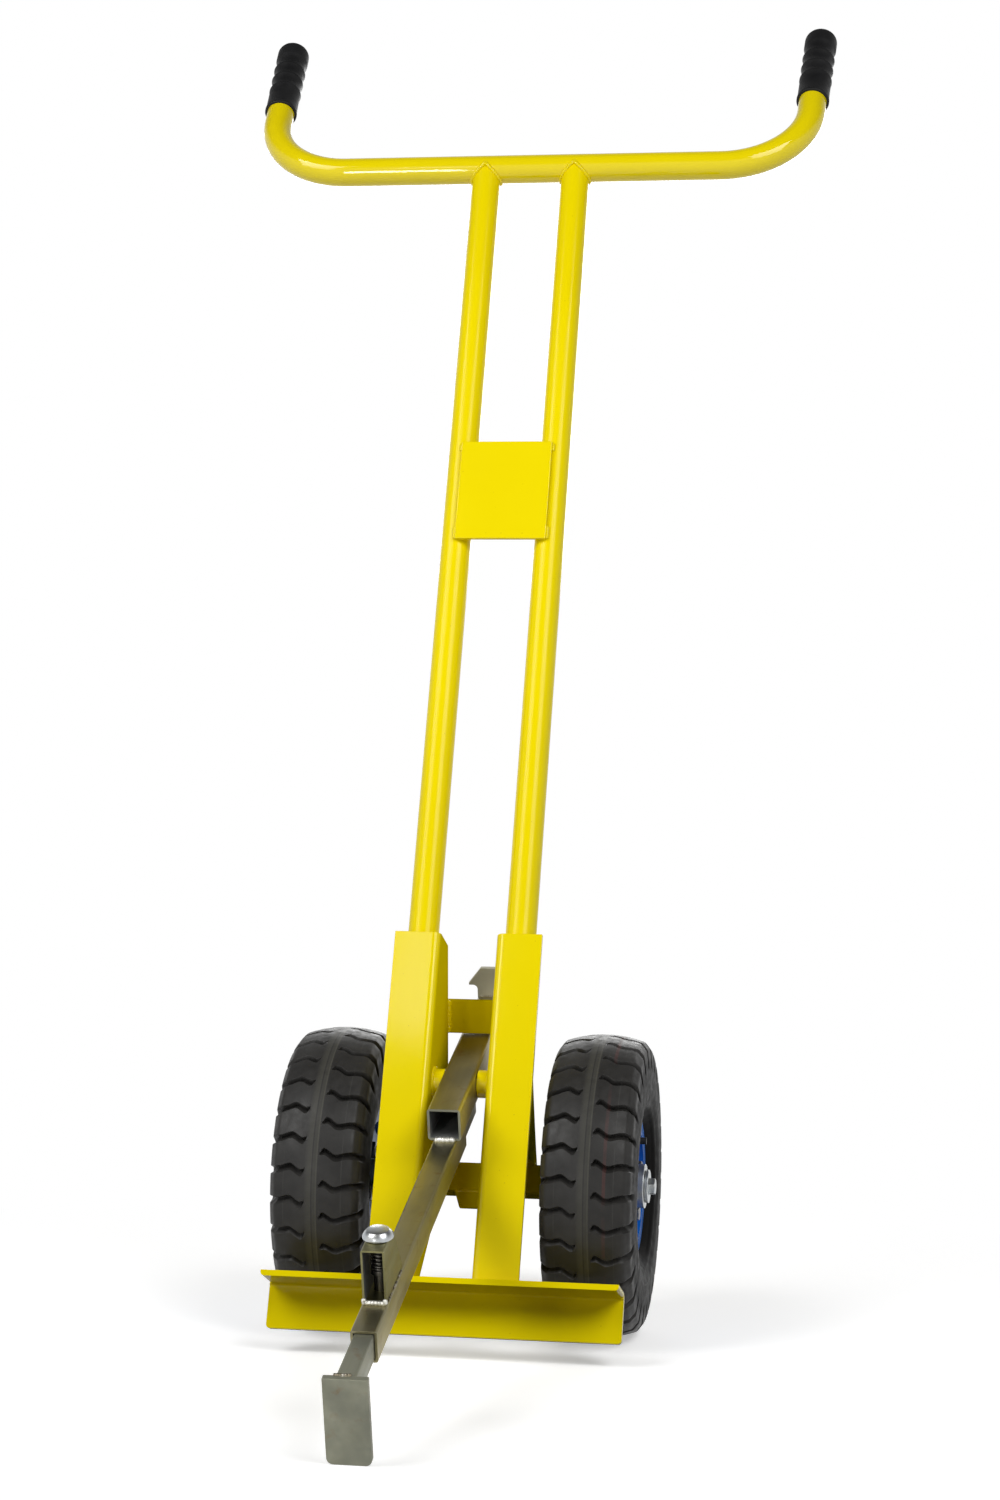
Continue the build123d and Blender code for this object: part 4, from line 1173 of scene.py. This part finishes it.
# Welds of the jaw
weld_along = JAW_BACK - 0.4
shape = bmesh.new()
start = (-INNER_HALF - 2.5, weld_along, INNER_TOP - 1)
end = (INNER_HALF - 3, weld_along, INNER_TOP - 0.4)
straight_bead(shape, on_arm, start, end, 2.1, "jaw top")
for side, hand in HANDS:
    beside = side * (INNER_HALF + 0.4)
    ends = [(beside, weld_along, INNER_TOP - drop) for drop in (3, 19)]
    straight_bead(shape, on_arm, *ends, 1.8, f"{hand} jaw")
mesh = smooth_mesh("jaw_welds", shape, WELD_CREASE)
place("jaw_welds", mesh, "extension", "weld_steel")


def seen_rays(look):
    """One for camera, glossy and transmission rays, and nought for the rest."""
    path = look.node("ShaderNodeLightPath").outputs
    seen = look.math("MAXIMUM", path["Is Camera Ray"], path["Is Glossy Ray"])
    return look.math("MAXIMUM", seen, path["Is Transmission Ray"])


# Floor: pale under the object, where it takes the shadow, and plain white further out
FLOOR_HALF = 12
FADE_REACH = 4.0
floor_mesh = bpy.data.meshes.new("floor")
shape = bmesh.new()
bmesh.ops.create_grid(shape, x_segments=2, y_segments=2, size=FLOOR_HALF)
shape.to_mesh(floor_mesh)
shape.free()
floor = bpy.data.objects.new("floor", floor_mesh)
scene.collection.objects.link(floor)
look = Look("floor", Roughness=0.95, Specular_IOR_Level=0.0)
seen = seen_rays(look)
distance = look.length(look.here)
pale = look.ramp(look.noise(3, 3), (0.3, 0.88), (0.7, 0.91))
# For light bouncing onto the object, the floor is dark near it, which deepens the shade under the cart
bounce = look.ramp(distance, (0.42, 0.08), (1.0, 0.88))
look.set("Base Color", look.mix(seen, bounce, pale))
look.set("Emission Color", (1, 1, 1))
# Further out the floor glows faintly for those rays: a painted fill light on the object's undersides
far_glow = look.ramp(distance, (0.6, 0.0), (1.0, 0.3))
look.set("Emission Strength", look.mix(seen, far_glow, (0.42, 0.42, 0.42)))
share = look.ramp(look.math("DIVIDE", distance, FADE_REACH), (0.075, 0.0), (0.2, 1.0))
white = look.node("ShaderNodeEmission", (1, 1, 1), 1.0)
blend = look.node("ShaderNodeMixShader", look.math("MULTIPLY", share, seen))
look.join(blend.inputs[1], look.surface.outputs[0])
look.join(blend.inputs[2], white.outputs[0])
look.join(look.tree.nodes["Material Output"].inputs["Surface"], blend.outputs[0])
look.material.cycles.emission_sampling = "NONE"
floor_mesh.materials.append(look.material)

# World: white near the horizon for what is seen, darker overhead, and dim as a light
world = bpy.data.worlds.new("world")
scene.world = world
world.use_nodes = True
sky = Nodes(world.node_tree)
towards = sky.here.node.outputs["Generated"]
shade = sky.ramp(sky.axis("Z", towards), (0.3, 1.0), (0.55, 0.1), (1.0, 0.04))
behind = sky.ramp(sky.axis("Y", towards), (0.3, 0.0), (0.7, 0.5))
shade = sky.math("MAXIMUM", shade, behind)
background = world.node_tree.nodes["Background"]
sky.join(background.inputs["Color"], sky.mix(seen_rays(sky), (0.06, 0.06, 0.06), shade))
background.inputs["Strength"].default_value = 1.0
world.cycles.sampling_method = "NONE"


def softbox(name, at, towards, size, power, spread=125):
    """An area lamp facing a point."""
    data = bpy.data.lights.new(name, "AREA")
    data.shape = "RECTANGLE"
    data.size, data.size_y = size
    data.energy = power
    data.spread = math.radians(spread)
    lamp = bpy.data.objects.new(name, data)
    lamp.visible_camera = False
    scene.collection.objects.link(lamp)
    direction = Vector(towards) - Vector(at)
    turn = direction.to_track_quat("-Z", "Y").to_matrix().to_4x4()
    lamp.matrix_world = Matrix.Translation(at) @ turn


# Lamps: two large ones in front, a strip that draws a line on the handlebar, a small one that
# glints on the left side plate, and a wide one behind
for side, hand in HANDS:
    softbox(hand, (side * 1.4, -1.35, 2.0), (0, 0, 0.2), (1.2, 1.4), power=9.9, spread=90)
softbox("strip", (-0.69, -2.4, 0.62), (0, 0.33, 1.0), (0.26, 0.7), power=1.3, spread=60)
softbox("glint", (-0.509, -1.862, 1.748), (-0.047, 0.007, 0.315), (0.16, 0.22), power=0.22)
softbox("rear", (0, 2.7, 1.2), (0, 0, 0.5), (2.0, 0.8), power=13)
